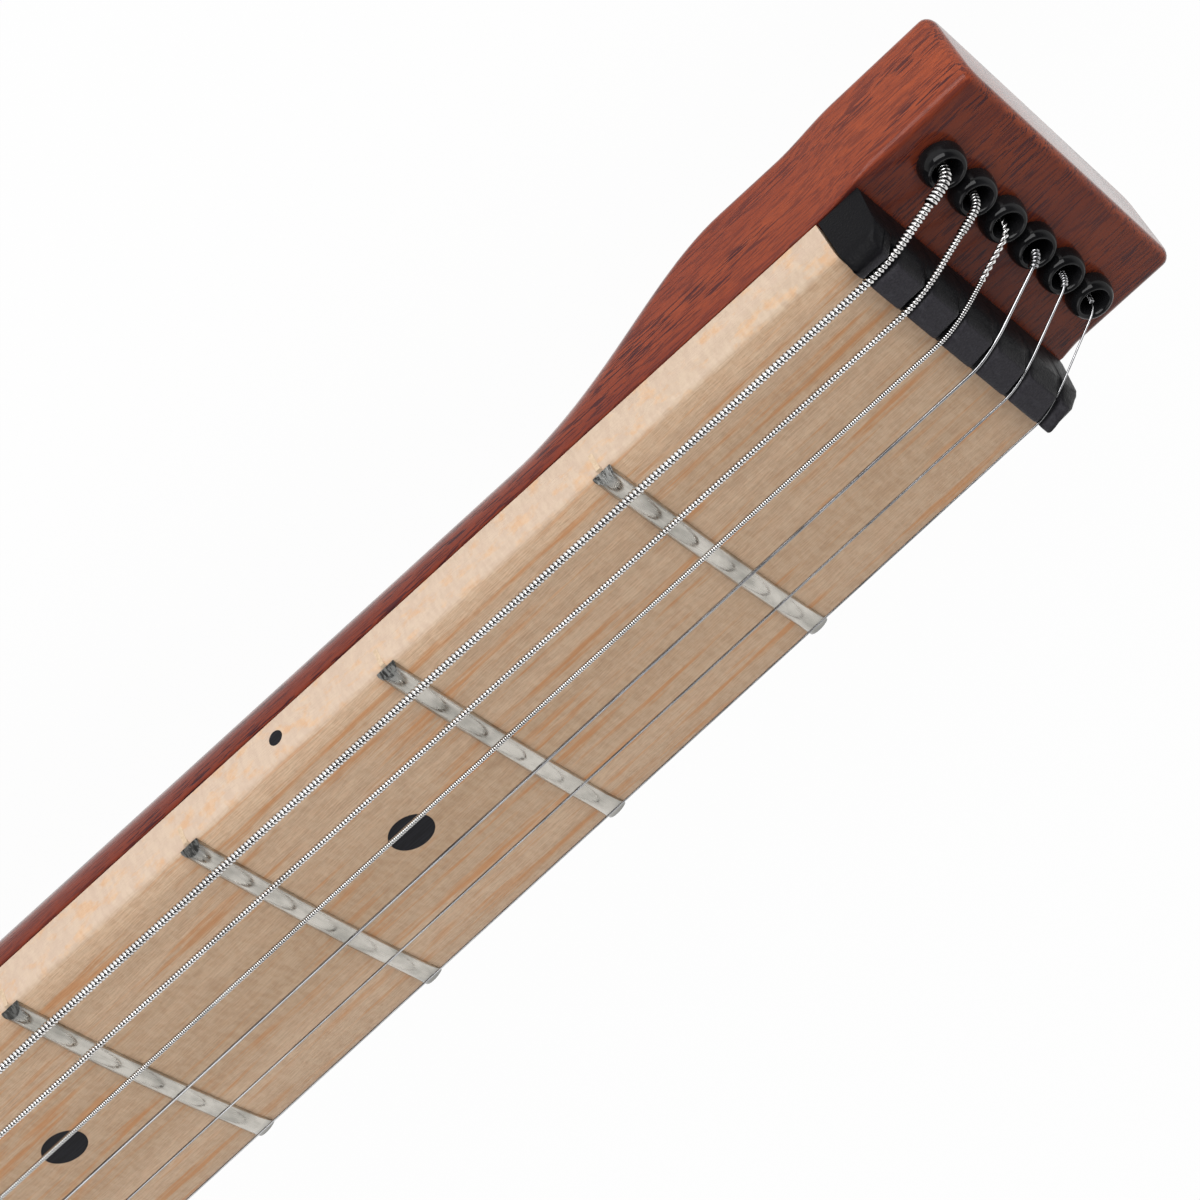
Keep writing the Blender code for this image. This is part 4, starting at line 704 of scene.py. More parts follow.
def neck_section(x):
    """Half width, top, bottom, top edge radius, and the bottom corner's two radii at one station."""
    if x > BODY_FRONT:
        heel = BODY_FRONT + HEEL_LENGTH
        step = BODY_FRONT + HEEL_STEP
        width = smooth_curve([(BODY_FRONT, BODY_HALF_WIDTH - SHOULDER_INSET),
                              (step, board_half_width(step) + 2 * MM), (heel, board_half_width(heel))], x)
        if x > heel:
            width = board_half_width(x)
        if x > NUT_FRONT:
            width = smooth_curve([(NUT_FRONT, NUT_WIDTH / 2), (NUT_REAR + HEAD_RAMP, HEAD_HALF_WIDTH)], x)
        bottom = BODY_THICKNESS - smooth_curve(
            [(BODY_FRONT, BODY_THICKNESS), (BODY_FRONT + 14 * MM, BODY_THICKNESS * 0.6),
             (heel, NECK_DEPTH_AT_HEEL + 1 * MM), (SCALE / 2, NECK_DEPTH_AT_HEEL),
             (SCALE - FLARE_START, NECK_DEPTH), (SCALE - FLARE_END, HEAD_DEPTH)], x)
        squareness = smooth_curve([(BODY_FRONT, 0.0), (heel + 10 * MM, 1.0),
                                   (SCALE - 46 * MM, 1.0), (SCALE - FLARE_END, 0.0)], x)
        depth = BODY_THICKNESS - bottom
        corner = BODY_EDGE if x < SCALE / 2 else HEAD_EDGE
        side = corner + (width - 0.5 * MM - corner) * squareness
        rise = corner + (depth - 1.2 * MM - corner) * squareness
        top_edge = smooth_curve([(BODY_FRONT, BODY_EDGE * 0.6), (BODY_FRONT + 20 * MM, NECK_TOP_EDGE),
                                 (NUT_REAR, NECK_TOP_EDGE), (NUT_REAR + HEAD_RAMP, HEAD_EDGE)], x)
        return width, BODY_THICKNESS, bottom, top_edge, side, rise
    width = deck_half_width(x)
    shoulder = BODY_FRONT - SHOULDER_LENGTH
    if x > shoulder:
        width = smooth_curve([(shoulder, BODY_HALF_WIDTH), (BODY_FRONT, BODY_HALF_WIDTH - SHOULDER_INSET)], x)
    top = smooth_curve([(BODY_REAR - 14 * MM, DECK_TOP), (BODY_REAR - 4 * MM, BODY_THICKNESS)], x)
    bottom = smooth_curve([(BODY_REAR - 10 * MM, DECK_BOTTOM), (BODY_REAR, 0.0)], x)
    edge = smooth_curve([(BODY_REAR - 10 * MM, 2.5 * MM), (BODY_REAR + 10 * MM, BODY_EDGE)], x)
    return width, top, bottom, edge * 0.6, edge, edge


def cavity_outline(grow, radius):
    """The cavity's outline, grown on all sides but less towards the body's edge."""
    margin = CAVITY_MARGIN + grow
    return rounded_rectangle(VOLUME_X - margin, TONE_X + margin, KNOB_Y - CAVITY_HALF_WIDTH - grow * 0.35,
                             KNOB_Y + CAVITY_HALF_WIDTH + grow, radius)


def strap_button_places():
    """Name, direction and seat of each strap button."""
    side_y = neck_section(STRAP_BUTTON_X)[0] - STRAP_SEAT_DEPTH
    tail_x = -TAIL_LENGTH + STRAP_SEAT_AT_TAIL
    return [("strap_button_side", (0, 1, 0), (STRAP_BUTTON_X, side_y, BODY_THICKNESS / 2)),
            ("strap_button_tail", (-1, 0, 0), (tail_x, 0, (DECK_TOP + DECK_BOTTOM) / 2))]


def section_ring(x, inset=0.0):
    """One closed ring of the neck and body, finer than the CAD's."""
    width, top, bottom, top_edge, side, rise = neck_section(x)
    width, top, bottom = width - inset, top - inset, bottom + inset
    half = []
    for i in range(TOP_EDGE_STEPS + 1):
        angle = math.radians(90 - 90 * i / TOP_EDGE_STEPS)
        half.append((width - top_edge + top_edge * math.cos(angle), top - top_edge + top_edge * math.sin(angle)))
    for i in range(CORNER_STEPS + 1):
        angle = math.radians(90 * i / CORNER_STEPS)
        half.append((width - side + side * math.cos(angle), bottom + rise - rise * math.sin(angle)))
    ring = [Vector((x, y, z)) for y, z in half]
    ring += [Vector((x, -y, z)) for y, z in reversed(half)]
    return ring


TOP_EDGE_STEPS = 6
CORNER_STEPS = 14


def neck_stations():
    """Places of the rings, close together where the section changes fast."""
    stations, x = [], -TAIL_LENGTH + 2 * MM
    while x < NUT_REAR + 3 * MM:
        stations.append(x)
        fast = (BODY_REAR - 16 * MM < x < BODY_REAR + 12 * MM or BODY_FRONT - 2 * MM < x < BODY_FRONT + 45 * MM
                or x > SCALE - 62 * MM)
        x += 1.5 * MM if fast else 8 * MM
    stations.append(NUT_REAR + 3 * MM)
    return stations


def cutter(bm):
    bmesh.ops.recalc_face_normals(bm, faces=bm.faces)
    mesh = bpy.data.meshes.new("cutter")
    bm.to_mesh(mesh)
    bm.free()
    made = bpy.data.objects.new("cutter", mesh)
    bpy.context.scene.collection.objects.link(made)
    return made


def cut(bm, cutters):
    """Take the cutters out of a bmesh and give back the result as a mesh."""
    target = cutter(bm)
    for one in cutters:
        step = target.modifiers.new("cut", "BOOLEAN")
        step.object = one
        step.operation = "DIFFERENCE"
        step.solver = "EXACT"
    graph = bpy.context.evaluated_depsgraph_get()
    mesh = bpy.data.meshes.new_from_object(target.evaluated_get(graph))
    for used in (target, *cutters):
        bpy.data.objects.remove(used, do_unlink=True)
    return mesh


def plug(profile, to_world, segments=32):
    bm = bmesh.new()
    lathe(bm, profile, segments, to_world)
    return cutter(bm)


def body_cutters():
    """Rout, cavity, channel, holes and sockets, as in the CAD."""
    made = []
    bm = bmesh.new()
    extrude(bm, rounded_rectangle(PICKUP_X - PICKUP_LENGTH / 2 - 1.5 * MM, PICKUP_X + PICKUP_LENGTH / 2 + 1.5 * MM,
                                  -PICKUP_WIDTH / 2 - 1.5 * MM, PICKUP_WIDTH / 2 + 1.5 * MM, 4 * MM, 6),
            BODY_THICKNESS - PICKUP_DEPTH, BODY_THICKNESS + 5 * MM)
    made.append(cutter(bm))
    bm = bmesh.new()
    shelf = COVER_THICKNESS + 2 * GAP
    sections = [(cavity_outline(COVER_LIP + GAP, 6 * MM), -5 * MM), (cavity_outline(COVER_LIP + GAP, 6 * MM), shelf),
                (cavity_outline(0, 4 * MM), shelf), (cavity_outline(0, 4 * MM), BODY_THICKNESS - CAVITY_ROOF)]
    loft(bm, [[Vector((x, y, z)) for x, y in outline] for outline, z in sections])
    made.append(cutter(bm))
    bm = bmesh.new()
    half = TRUSS_RADIUS + 0.5 * MM
    block(bm, (BOARD_END - 2 * MM, -half, TRUSS_Z - half), (SCALE - TRUSS_STOP_BEFORE_NUT, half, BODY_THICKNESS + 2 * MM))
    made.append(cutter(bm))
    bm = bmesh.new()
    room = WHEEL_RADIUS + 1 * MM
    extrude(bm, rounded_rectangle(WHEEL_X - WHEEL_LENGTH / 2 - 2 * MM, BOARD_END, -room, room, 2 * MM, 6),
            TRUSS_Z - room, BODY_THICKNESS + 2 * MM)
    made.append(cutter(bm))
    back = BODY_THICKNESS - HEAD_DEPTH
    wide, stem = BALL_RADIUS + 0.5 * MM, FERRULE_STEM + GAP
    foot = BODY_THICKNESS - FERRULE_STEM_LENGTH - GAP
    profile = [(0, back - 3 * MM), (wide, back - 3 * MM), (wide, back + 4.5 * MM), (FERRULE_BORE, back + 4.5 * MM),
               (FERRULE_BORE, foot), (stem, foot), (stem, BODY_THICKNESS + 3 * MM), (0, BODY_THICKNESS + 3 * MM)]
    made += [plug(profile, Matrix.Translation((SCALE + FERRULE_X, ferrule_y(i), 0))) for i in range(6)]
    radius = BUSHING_RADIUS + GAP
    profile = [(0, DECK_BOTTOM - 4 * MM), (radius, DECK_BOTTOM - 4 * MM), (radius, DECK_TOP + 4 * MM),
               (0, DECK_TOP + 4 * MM)]
    made += [plug(profile, Matrix.Translation((*post_place(i)[:2], 0))) for i in range(6)]
    radius, inner = REST_ROD_RADIUS + REST_SOCKET_CLEARANCE, BODY_HALF_WIDTH - REST_SOCKET_DEPTH
    profile = [(0, inner), (radius, inner), (radius, BODY_HALF_WIDTH + 8 * MM), (0, BODY_HALF_WIDTH + 8 * MM)]
    made += [plug(profile, along((0, side, 0), (x, 0, REST_Z))) for x in (REST_REAR_X, REST_FRONT_X)
             for side in (1, -1)]
    seat = BODY_HALF_WIDTH - JACK_SEAT_DEPTH
    bore, wide = JACK_CAN + 1 * MM, JACK_PLATE_RADIUS + 0.5 * MM
    profile = [(0, seat - JACK_DEPTH - 3 * MM), (bore, seat - JACK_DEPTH - 3 * MM), (bore, seat), (wide, seat),
               (wide, seat + 10 * MM), (0, seat + 10 * MM)]
    made.append(plug(profile, along((0, -1, 0), (JACK_X, 0, JACK_Z)), 48))
    radius = POT_BUSHING_RADIUS + GAP
    profile = [(0, BODY_THICKNESS - CAVITY_ROOF - 2 * MM), (radius, BODY_THICKNESS - CAVITY_ROOF - 2 * MM),
               (radius, BODY_THICKNESS + 2 * MM), (0, BODY_THICKNESS + 2 * MM)]
    made += [plug(profile, Matrix.Translation((x, KNOB_Y, 0))) for x in (VOLUME_X, TONE_X)]
    radius = STRAP_BUTTON_RADIUS * 0.8 + 0.6 * MM
    made += [plug([(0, 0), (radius, 0), (radius, 6 * MM), (0, 6 * MM)], along(axis, place))
             for name, axis, place in strap_button_places()]
    return made


def mark_edges(mesh, share_at):
    """Store how much each point lies on a rounded edge, for the finish."""
    values = mesh.attributes.new("edge", "FLOAT", "POINT")
    for vertex, value in zip(mesh.vertices, values.data):
        value.value = share_at(vertex.co)


# Share of each point on a rounded edge, which the mahogany finish paints lighter orange as a painted highlight.
def neck_edge(co):
    width, top, bottom, top_edge, side, rise = neck_section(co.x)
    near = 0.0
    if top_edge > 1.5 * MM:
        depth = min(abs(co.y) - (width - top_edge), co.z - (top - top_edge))
        near = max(0.0, min(1.0, depth / (top_edge * 0.4) - 0.45))
    return near


def make_neck(finish):
    stations = neck_stations()
    rings = [section_ring(stations[0] - 2 * MM, 1.6 * MM), section_ring(stations[0] - 1.4 * MM, 0.5 * MM)]
    rings += [section_ring(x) for x in stations]
    steps = 6
    for i in range(steps + 1):
        angle = math.radians(90 * i / steps)
        back, inset = HEAD_EDGE * (1 - math.sin(angle)), HEAD_EDGE * 0.85 * (1 - math.cos(angle))
        rings.append([Vector((HEAD_END - back, p.y, p.z)) for p in section_ring(HEAD_END, inset)])
    bm = bmesh.new()
    loft(bm, rings)
    mesh = cut(bm, body_cutters())
    mark_edges(mesh, neck_edge)
    return mesh_piece("neck_and_body_wood", mesh, finish, replaced=("neck_body",), sharp=32)


# Fingerboard, frets and dots

BOARD_ARC_STEPS = 20
BOARD_EDGE_STEPS = 5


def board_section(x):
    half, edge = board_half_width(x), BOARD_EDGE_ROUND
    corner_y, corner_z = half - edge, BOARD_TOP - board_drop(half) - edge
    ring = [(-half, BOARD_BOTTOM)]
    for i in range(BOARD_EDGE_STEPS + 1):
        angle = math.radians(180 - 90 * i / BOARD_EDGE_STEPS)
        ring.append((-corner_y + edge * math.cos(angle), corner_z + edge * math.sin(angle)))
    for i in range(1, BOARD_ARC_STEPS):
        y = -corner_y + 2 * corner_y * i / BOARD_ARC_STEPS
        rise = board_drop(half) - board_drop(y)
        ring.append((y, corner_z + edge + rise * min(1.0, (corner_y - abs(y)) / edge + 0.2)))
    for i in range(BOARD_EDGE_STEPS + 1):
        angle = math.radians(90 - 90 * i / BOARD_EDGE_STEPS)
        ring.append((corner_y + edge * math.cos(angle), corner_z + edge * math.sin(angle)))
    ring.append((half, BOARD_BOTTOM))
    return [Vector((x, y, z)) for y, z in ring]


def board_edge(co):
    half = board_half_width(co.x)
    return max(0.0, min(1.0, (abs(co.y) - (half - BOARD_EDGE_ROUND * 1.0)) / (BOARD_EDGE_ROUND * 0.75)))


def make_board(finish):
    bm = bmesh.new()
    length = SCALE - 0.15 * MM - BOARD_END
    loft(bm, [board_section(BOARD_END + length * i / 60) for i in range(61)])
    made = piece("fingerboard_wood", bm, finish, replaced=("fingerboard",))
    mark_edges(made.data, board_edge)


def make_frets(finish, filler):
    """Crowned wires that follow the board's arc, with ends filed at a slant."""
    crown = [(-0.5, -0.1), (-0.5, 0.22), (-0.44, 0.5), (-0.3, 0.8), (-0.12, 0.97), (0.12, 0.97), (0.3, 0.8),
             (0.44, 0.5), (0.5, 0.22), (0.5, -0.1)]
    inset, slant = 0.45 * MM, 0.62
    tangs = bmesh.new()
    for number in range(1, FRET_COUNT + 1):
        x = fret_x(number)
        half = board_half_width(x) - inset
        rings = []
        for share in (-1, *(-1.01 + 2.02 * i / 24 for i in range(1, 24)), 1):
            ring = []
            for across, up in crown:
                height = up * FRET_HEIGHT
                reach = half - max(height, 0) * slant
                y = share * reach
                ring.append(Vector((x + across * FRET_WIDTH, y, BOARD_TOP - board_drop(y) + height)))
            rings.append(ring)
        bm = bmesh.new()
        loft(bm, rings)
        made = piece(f"fret_{number:02d}", bm, finish, sharp=50)
        # Marks the filed end facets, which the fret finish paints dark grey as a painted dark reflection.
        mark_edges(made.data, lambda co: float(abs(co.y) > half - 0.02 * MM - max(
            co.z - BOARD_TOP + board_drop(co.y), 0) * slant))
        for side in (1, -1):
            y = side * board_half_width(x)
            block(tangs, (x - 0.3 * MM, min(y, y + side * 0.03 * MM) - 0.4 * MM * (side > 0),
                          BOARD_TOP - BOARD_EDGE_ROUND - 2.6 * MM),
                  (x + 0.3 * MM, max(y, y + side * 0.03 * MM) + 0.4 * MM * (side < 0), BOARD_TOP - BOARD_EDGE_ROUND * 0.9))
    piece("fret_slot_filler", tangs, filler)


def make_dots(finish):
    bm = bmesh.new()
    proud = 0.02 * MM
    for number in MARKED_FRETS:
        x = (fret_x(number) + fret_x(number - 1)) / 2
        ys = (8 * MM, -8 * MM) if number == 12 else (0.0,)
        for y0 in ys:
            for reach, low in ((DOT_RADIUS, 0.5 * MM),):
                rings = []
                for drop, scale in ((low, 1.0), (0.0, 1.0), (0.0, 0.97), (0.0, 0.5)):
                    ring = []
                    for k in range(40):
                        angle = 2 * math.pi * k / 40
                        px, py = x + reach * scale * math.cos(angle), y0 + reach * scale * math.sin(angle)
                        ring.append(Vector((px, py, BOARD_TOP - board_drop(py) + proud - drop)))
                    rings.append(ring)
                loft(bm, rings)
        y = board_half_width(x)
        offsets = (5 * MM, -5 * MM) if number == 12 else (0.0,)
        for off in offsets:
            place = (x + off, board_half_width(x + off) - 0.4 * MM, BOARD_TOP - 4.0 * MM)
            lathe(bm, [(0, 0), (SIDE_DOT_RADIUS, 0), (SIDE_DOT_RADIUS, 0.4 * MM + proud), (0, 0.4 * MM + proud)], 24,
                  along((0, 1, 0), place))
    piece("position_dots", bm, finish)


# Nut and ferrules

def nut_string_line(index, x):
    """The string's y and z where it crosses the nut at this x."""
    low, crown, rear, mouth = nut_route(index)
    route = [low, crown, rear, mouth]
    for a, b in zip(route, route[1:]):
        if x <= b.x:
            break
    share = (x - a.x) / (b.x - a.x)
    return a.y + (b.y - a.y) * share, a.z + (b.z - a.z) * share


def make_nut(finish):
    """Pillowed block: its top falls to the back, and dips towards each string's slot."""
    half, top_half = NUT_WIDTH / 2 - 0.1 * MM, NUT_TOP_HALF_WIDTH
    front = BOARD_TOP + STRING_OVER_BOARD_AT_NUT
    fall = 1.4 * MM
    shoulder = BOARD_TOP - 0.6 * MM
    length = NUT_REAR - NUT_FRONT
    profile = []
    for i in range(5):
        angle = math.radians(90 * i / 4)
        profile.append((0.55 * MM * (1 - math.cos(angle)), -0.55 * MM * (1 - math.sin(angle))))
    for share in (0.2, 0.32, 0.44, 0.54, 0.6):
        profile.append((length * share, -fall * 0.5 * (share - 0.09)))
    crest_x, crest_z, slope = length * 0.62, -fall * 0.27, math.radians(58)
    for i in range(5):
        angle = slope * i / 4
        profile.append((crest_x + 0.35 * MM * math.sin(angle), crest_z - 0.35 * MM * (1 - math.cos(angle))))
    last_x, last_z = profile[-1]
    for share in (0.35, 0.7, 1.0):
        run = (length - 0.5 * MM - last_x) * share
        profile.append((last_x + run, last_z - run * math.tan(slope)))
    profile.append((length, BODY_THICKNESS + 2.0 * MM - front))
    rings = []
    for depth, drop in profile:
        x, level = NUT_FRONT + depth, front + drop
        tops = []
        slots = [nut_string_line(i, x) for i in range(6)]
        for i in range(5, -1, -1):
            y0, z0 = slots[i]
            radius = STRING_DIAMETERS[i] / 2 + 0.04 * MM
            wide = radius + 0.24 * MM
            rest = z0 - radius
            for out in (1.6, 0.9, 0.5, 0.25, 0.1, 0.0):
                dip = 0.55 * MM * math.exp(-out / 0.22)
                tops.append((y0 - wide - out * MM, level - dip))
            for part in (1.0, 0.8, 0.4, 0.0, -0.4, -0.8, -1.0):
                bottom = z0 - math.sqrt(max(radius ** 2 - (part * radius) ** 2, 0))
                tops.append((y0 - part * wide, min(level - 0.55 * MM, max(bottom, rest))))
            for out in (0.0, 0.1, 0.25, 0.5, 0.9, 1.6):
                dip = 0.55 * MM * math.exp(-out / 0.22)
                tops.append((y0 + wide + out * MM, level - dip))
        side_z = min(shoulder, level - 0.9 * MM)
        ends = []
        for i in range(7):
            angle = math.radians(90 * i / 6)
            ends.append((top_half + (half - top_half) * math.sin(angle) ** 1.4,
                         side_z + (level - 0.12 * MM - side_z) * math.cos(angle) ** 0.9))
        ring = [(-half, BOARD_BOTTOM)] + [(-y, z) for y, z in reversed(ends)] + tops + ends + [(half, BOARD_BOTTOM)]
        rings.append([Vector((x, y, z)) for y, z in ring])
    bm = bmesh.new()
    rows = [[bm.verts.new(p) for p in ring] for ring in rings]
    floor = [[bm.verts.new((p.x, p.y, BOARD_BOTTOM)) for p in ring[1:-1]] for ring in (rings[0], rings[-1])]
    count = len(rows[0])
    for low, high in zip(rows, rows[1:]):
        for i in range(count - 1):
            bm.faces.new((low[i], low[i + 1], high[i + 1], high[i]))
    for row, base in ((rows[0], floor[0]), (rows[-1], floor[1])):
        line = [row[0]] + base + [row[-1]]
        for i in range(count - 1):
            corners = [row[i], row[i + 1], line[i + 1], line[i]]
            bm.faces.new(list(dict.fromkeys(corners)))
    bm.faces.new([rows[0][0]] + floor[0] + [rows[0][-1], rows[-1][-1]] + floor[1][::-1] + [rows[-1][0]])
    made = piece("nut_block", bm, finish, replaced=("nut",), sharp=48)

    # Share painted near black: the ends, the rear slope, and painted shade within about half a millimetre of each
    # string's slot.
    def ends_rear_and_slot_shade(co):
        off = min(abs(co.y - nut_string_line(i, co.x)[0]) - STRING_DIAMETERS[i] / 2 for i in range(6))
        return min(max((abs(co.y) - top_half) / (0.6 * MM), (co.x - NUT_FRONT - crest_x) / (0.4 * MM),
                       1.6 - off / (0.3 * MM), 0), 1)

    mark_edges(made.data, ends_rear_and_slot_shade)


def make_ferrules(finish):
    """Domed rings with a flared mouth."""
    seat = BODY_THICKNESS + GAP
    dome = []
    for i in range(17):
        angle = math.radians(160 * i / 16)
        reach = 0.80 * MM if angle < math.pi / 2 else 0.52 * MM
        drop = 2.0 * MM if angle < math.pi / 2 else 1.2 * MM
        dome.append((FERRULE_RADIUS - 0.80 * MM + reach * math.cos(angle),
                     seat + FERRULE_HEIGHT - drop + drop * math.sin(angle)))
    foot = BODY_THICKNESS - FERRULE_STEM_LENGTH
    profile = [(FERRULE_BORE, foot), (FERRULE_STEM, foot), (FERRULE_STEM, seat), (FERRULE_RADIUS - 0.05 * MM, seat),
               *dome, (FERRULE_BORE + 0.05 * MM, seat + FERRULE_HEIGHT - 1.2 * MM), (FERRULE_BORE, seat + 0.4 * MM)]
    for i, name in enumerate(STRING_NAMES):
        bm = bmesh.new()
        lathe(bm, profile, 56, Matrix.Translation((SCALE + FERRULE_X, ferrule_y(i), 0)))
        piece("ferrule_ring_" + name, bm, finish, replaced=("ferrule_" + name,), sharp=60)


# Strings

class Route:
    """A centre line that can be read at any length along it, with a frame that does not twist."""

    def __init__(self, points):
        self.points = np.array([tuple(p) for p in points])
        steps = np.diff(self.points, axis=0)
        lengths = np.linalg.norm(steps, axis=1)
        self.at = np.concatenate([[0], np.cumsum(lengths)])
        directions = steps / lengths[:, None]
        ahead = np.vstack([directions[:1], directions[1:] + directions[:-1], directions[-1:]])
        self.ahead = ahead / np.linalg.norm(ahead, axis=1)[:, None]
        normal = np.cross(self.ahead[0], (0, 1, 0))
        normals = []
        for direction in self.ahead:
            normal = normal - direction * np.dot(normal, direction)
            normal = normal / np.linalg.norm(normal)
            normals.append(normal)
        self.normals = np.array(normals)
        self.length = self.at[-1]

    def read(self, where):
        """Centre, normal and binormal at these lengths."""
        def mixed(table):
            return np.stack([np.interp(where, self.at, table[:, k]) for k in range(3)], axis=1)
        centre, ahead, normal = mixed(self.points), mixed(self.ahead), mixed(self.normals)
        ahead /= np.linalg.norm(ahead, axis=1)[:, None]
        normal -= ahead * np.sum(normal * ahead, axis=1)[:, None]
        normal /= np.linalg.norm(normal, axis=1)[:, None]
        return centre, normal, np.cross(ahead, normal)

    def around(self, where, angle, radius):
        centre, normal, other = self.read(where)
        return centre + (np.cos(angle) * radius)[:, None] * normal + (np.sin(angle) * radius)[:, None] * other


def rounded_route(points, fillets, steps=8):
    """Cut each corner of a polyline with a curve that starts and ends at the fillet's distance from it."""
    made = [points[0]]
    for i in range(1, len(points) - 1):
        before, corner, after = points[i - 1], points[i], points[i + 1]
        into, out = (before - corner), (after - corner)
        cut_in = min(fillets[i], into.length * 0.49)
        cut_out = min(fillets[i], out.length * 0.49)
        start, end = corner + into.normalized() * cut_in, corner + out.normalized() * cut_out
        for k in range(steps + 1):
            t = k / steps
            made.append(start * (1 - t) ** 2 + corner * 2 * t * (1 - t) + end * t * t)
    made.append(points[-1])
    return made


def string_centre(index):
    """Ball end, ferrule, nut, saddle and the winding on the post, as in the CAD."""
    radius = STRING_DIAMETERS[index] / 2
    back = BODY_THICKNESS - HEAD_DEPTH
    fx, fy = SCALE + FERRULE_X, ferrule_y(index)
    before, crown, rear, mouth = nut_route(index)
    rise = BODY_THICKNESS + GAP + FERRULE_HEIGHT
    saddle_x = -COMPENSATION[index]
    bend = Vector((saddle_x, string_y(index, 0), string_z(index, saddle_x)))
    px, py, side = post_place(index)
    coil = POST_WAIST + GAP + radius
    away = Vector((px - bend.x, py - bend.y))
    start = math.atan2(-away.y, -away.x) - side * math.acos(coil / away.length)
    pitch = 2 * radius + WINDING_GAP
    top = DECK_TOP + WINDING_TOP_ABOVE_DECK
    winding = []
    for step in range(WINDING_STEPS * WINDING_TURNS + 1):
        turn = step / WINDING_STEPS
        angle = start - side * 2 * math.pi * turn
        winding.append(Vector((px + coil * math.cos(angle), py + coil * math.sin(angle), top - pitch * turn)))
    corners = [Vector((fx, fy, back + 3.4 * MM)), Vector((fx, fy, rise - 1.6 * MM)), mouth, rear, crown, before, bend,
               winding[0]]
    fillets = [0, 1.2 * MM, 1.4 * MM, 1.6 * MM, 1.6 * MM, 1.6 * MM, 2.4 * MM, 0]
    return Route(rounded_route(corners, fillets) + winding[1:]), Route(rounded_route(corners[:5], fillets[:5]))


WINDING_STEPS = 40


def plain_wire(route, radius, start, end, sides):
    """A round wire along part of a route: points, faces, and 1 for each point on a crest."""
    inside = route.at[(route.at > start + 1e-6) & (route.at < end - 1e-6)]
    where = np.unique(np.concatenate([[start], inside, [end]]))
    rows = len(where)
    angles = np.tile(np.arange(sides) * 2 * math.pi / sides, rows)
    places = route.around(np.repeat(where, sides), angles, np.full(rows * sides, radius))
    faces = []
    for row in range(rows - 1):
        low, high = row * sides, (row + 1) * sides
        faces += [(low + i, low + (i + 1) % sides, high + (i + 1) % sides, high + i) for i in range(sides)]
    faces.append(tuple(range(sides))[::-1])
    faces.append(tuple(range((rows - 1) * sides, rows * sides)))
    return places, faces, np.ones(len(places))


def wrapped_wire(route, radius, pitch, start, end, sides, crest, depth=0.5):
    """A round-wound wire as one helical strip, with crest points (share of the pitch, share of the height)."""
    turns = int((end - start) / pitch)
    steps = turns * sides
    j = np.arange(steps + sides + 1)
    rows = [(j, 0.0, radius - depth * pitch)]
    rows += [(j[:steps + 1], share, radius - depth * pitch * (1 - up)) for share, up in crest]
    places, starts, count = [], [], 0
    for numbers, share, reach in rows:
        where = np.clip(start + pitch * (numbers / sides + share), 0, route.length)
        places.append(route.around(where, numbers * 2 * math.pi / sides, np.full(len(numbers), reach)))
        starts.append(count)
        count += len(numbers)
    lines = [np.arange(steps + 1) + first for first in starts]
    lines.append(np.arange(steps + 1) + starts[0] + sides)
    faces = []
    for low, high in zip(lines, lines[1:]):
        faces += np.stack([low[:-1], low[1:], high[1:], high[:-1]], axis=1).tolist()
    crests = [line[0] for line in lines[1:-1]]
    faces.append([int(k) for k in [*(starts[0] + np.arange(sides + 1)), *crests[::-1]]][::-1])
    crests = [line[-1] for line in lines[1:-1]]
    faces.append([int(k) for k in [*(starts[0] + steps + np.arange(sides + 1)), *crests[::-1]]])
    # 0 on the groove rows, which the wire finish paints near black as shade.
    crest_share = np.concatenate([np.zeros(len(places[0]))] + [np.ones(len(row)) for row in places[1:]])
    return np.concatenate(places), faces, crest_share


def twisted_wires(route, radius, offset, lay, start, end):
    """Two wires twisted round each other."""
    where = np.arange(start, end, lay / 14)
    places, faces, sides = [], [], 8
    for phase in (0, math.pi):
        turn = (where - start) / lay * 2 * math.pi + phase
        centre = route.around(where, turn, np.full(len(where), offset))
        strand, strand_faces, _ = plain_wire(Route(centre), radius, 0, Route(centre).length, sides)
        base = sum(len(p) for p in places)
        places.append(strand)
        faces += [tuple(base + k for k in face) for face in strand_faces]
    places = np.concatenate(places)
    return places, faces, np.ones(len(places))


def join(parts):
    places, faces, crests, base = [], [], [], 0
    for points, polygons, crest in parts:
        places.append(points)
        crests.append(crest)
        faces += [tuple(base + k for k in polygon) for polygon in polygons]
        base += len(points)
    return np.concatenate(places), faces, np.concatenate(crests)


def string_piece(name, parts, finish, replaced=()):
    places, faces, crests = join(parts)
    mesh = bpy.data.meshes.new(name)
    mesh.from_pydata(places.tolist(), [], faces)
    mesh.attributes.new("crest", "FLOAT", "POINT").data.foreach_set("value", crests.astype(np.float32))
    mesh.validate()
    return mesh_piece(name, mesh, finish, replaced=replaced, sharp=70)


def coil_round(route, wire, bore, start, turns):
    """A tight coil of wire round the string, as at the twist behind a ball end."""
    pitch = wire * 2.1
    where = np.arange(start, start + turns * pitch, pitch / 12)
    turn = (where - start) / pitch * 2 * math.pi
    centre = route.around(where, turn, np.full(len(where), bore + wire))
    line = Route(centre)
    return plain_wire(line, wire, 0, line.length, 8)


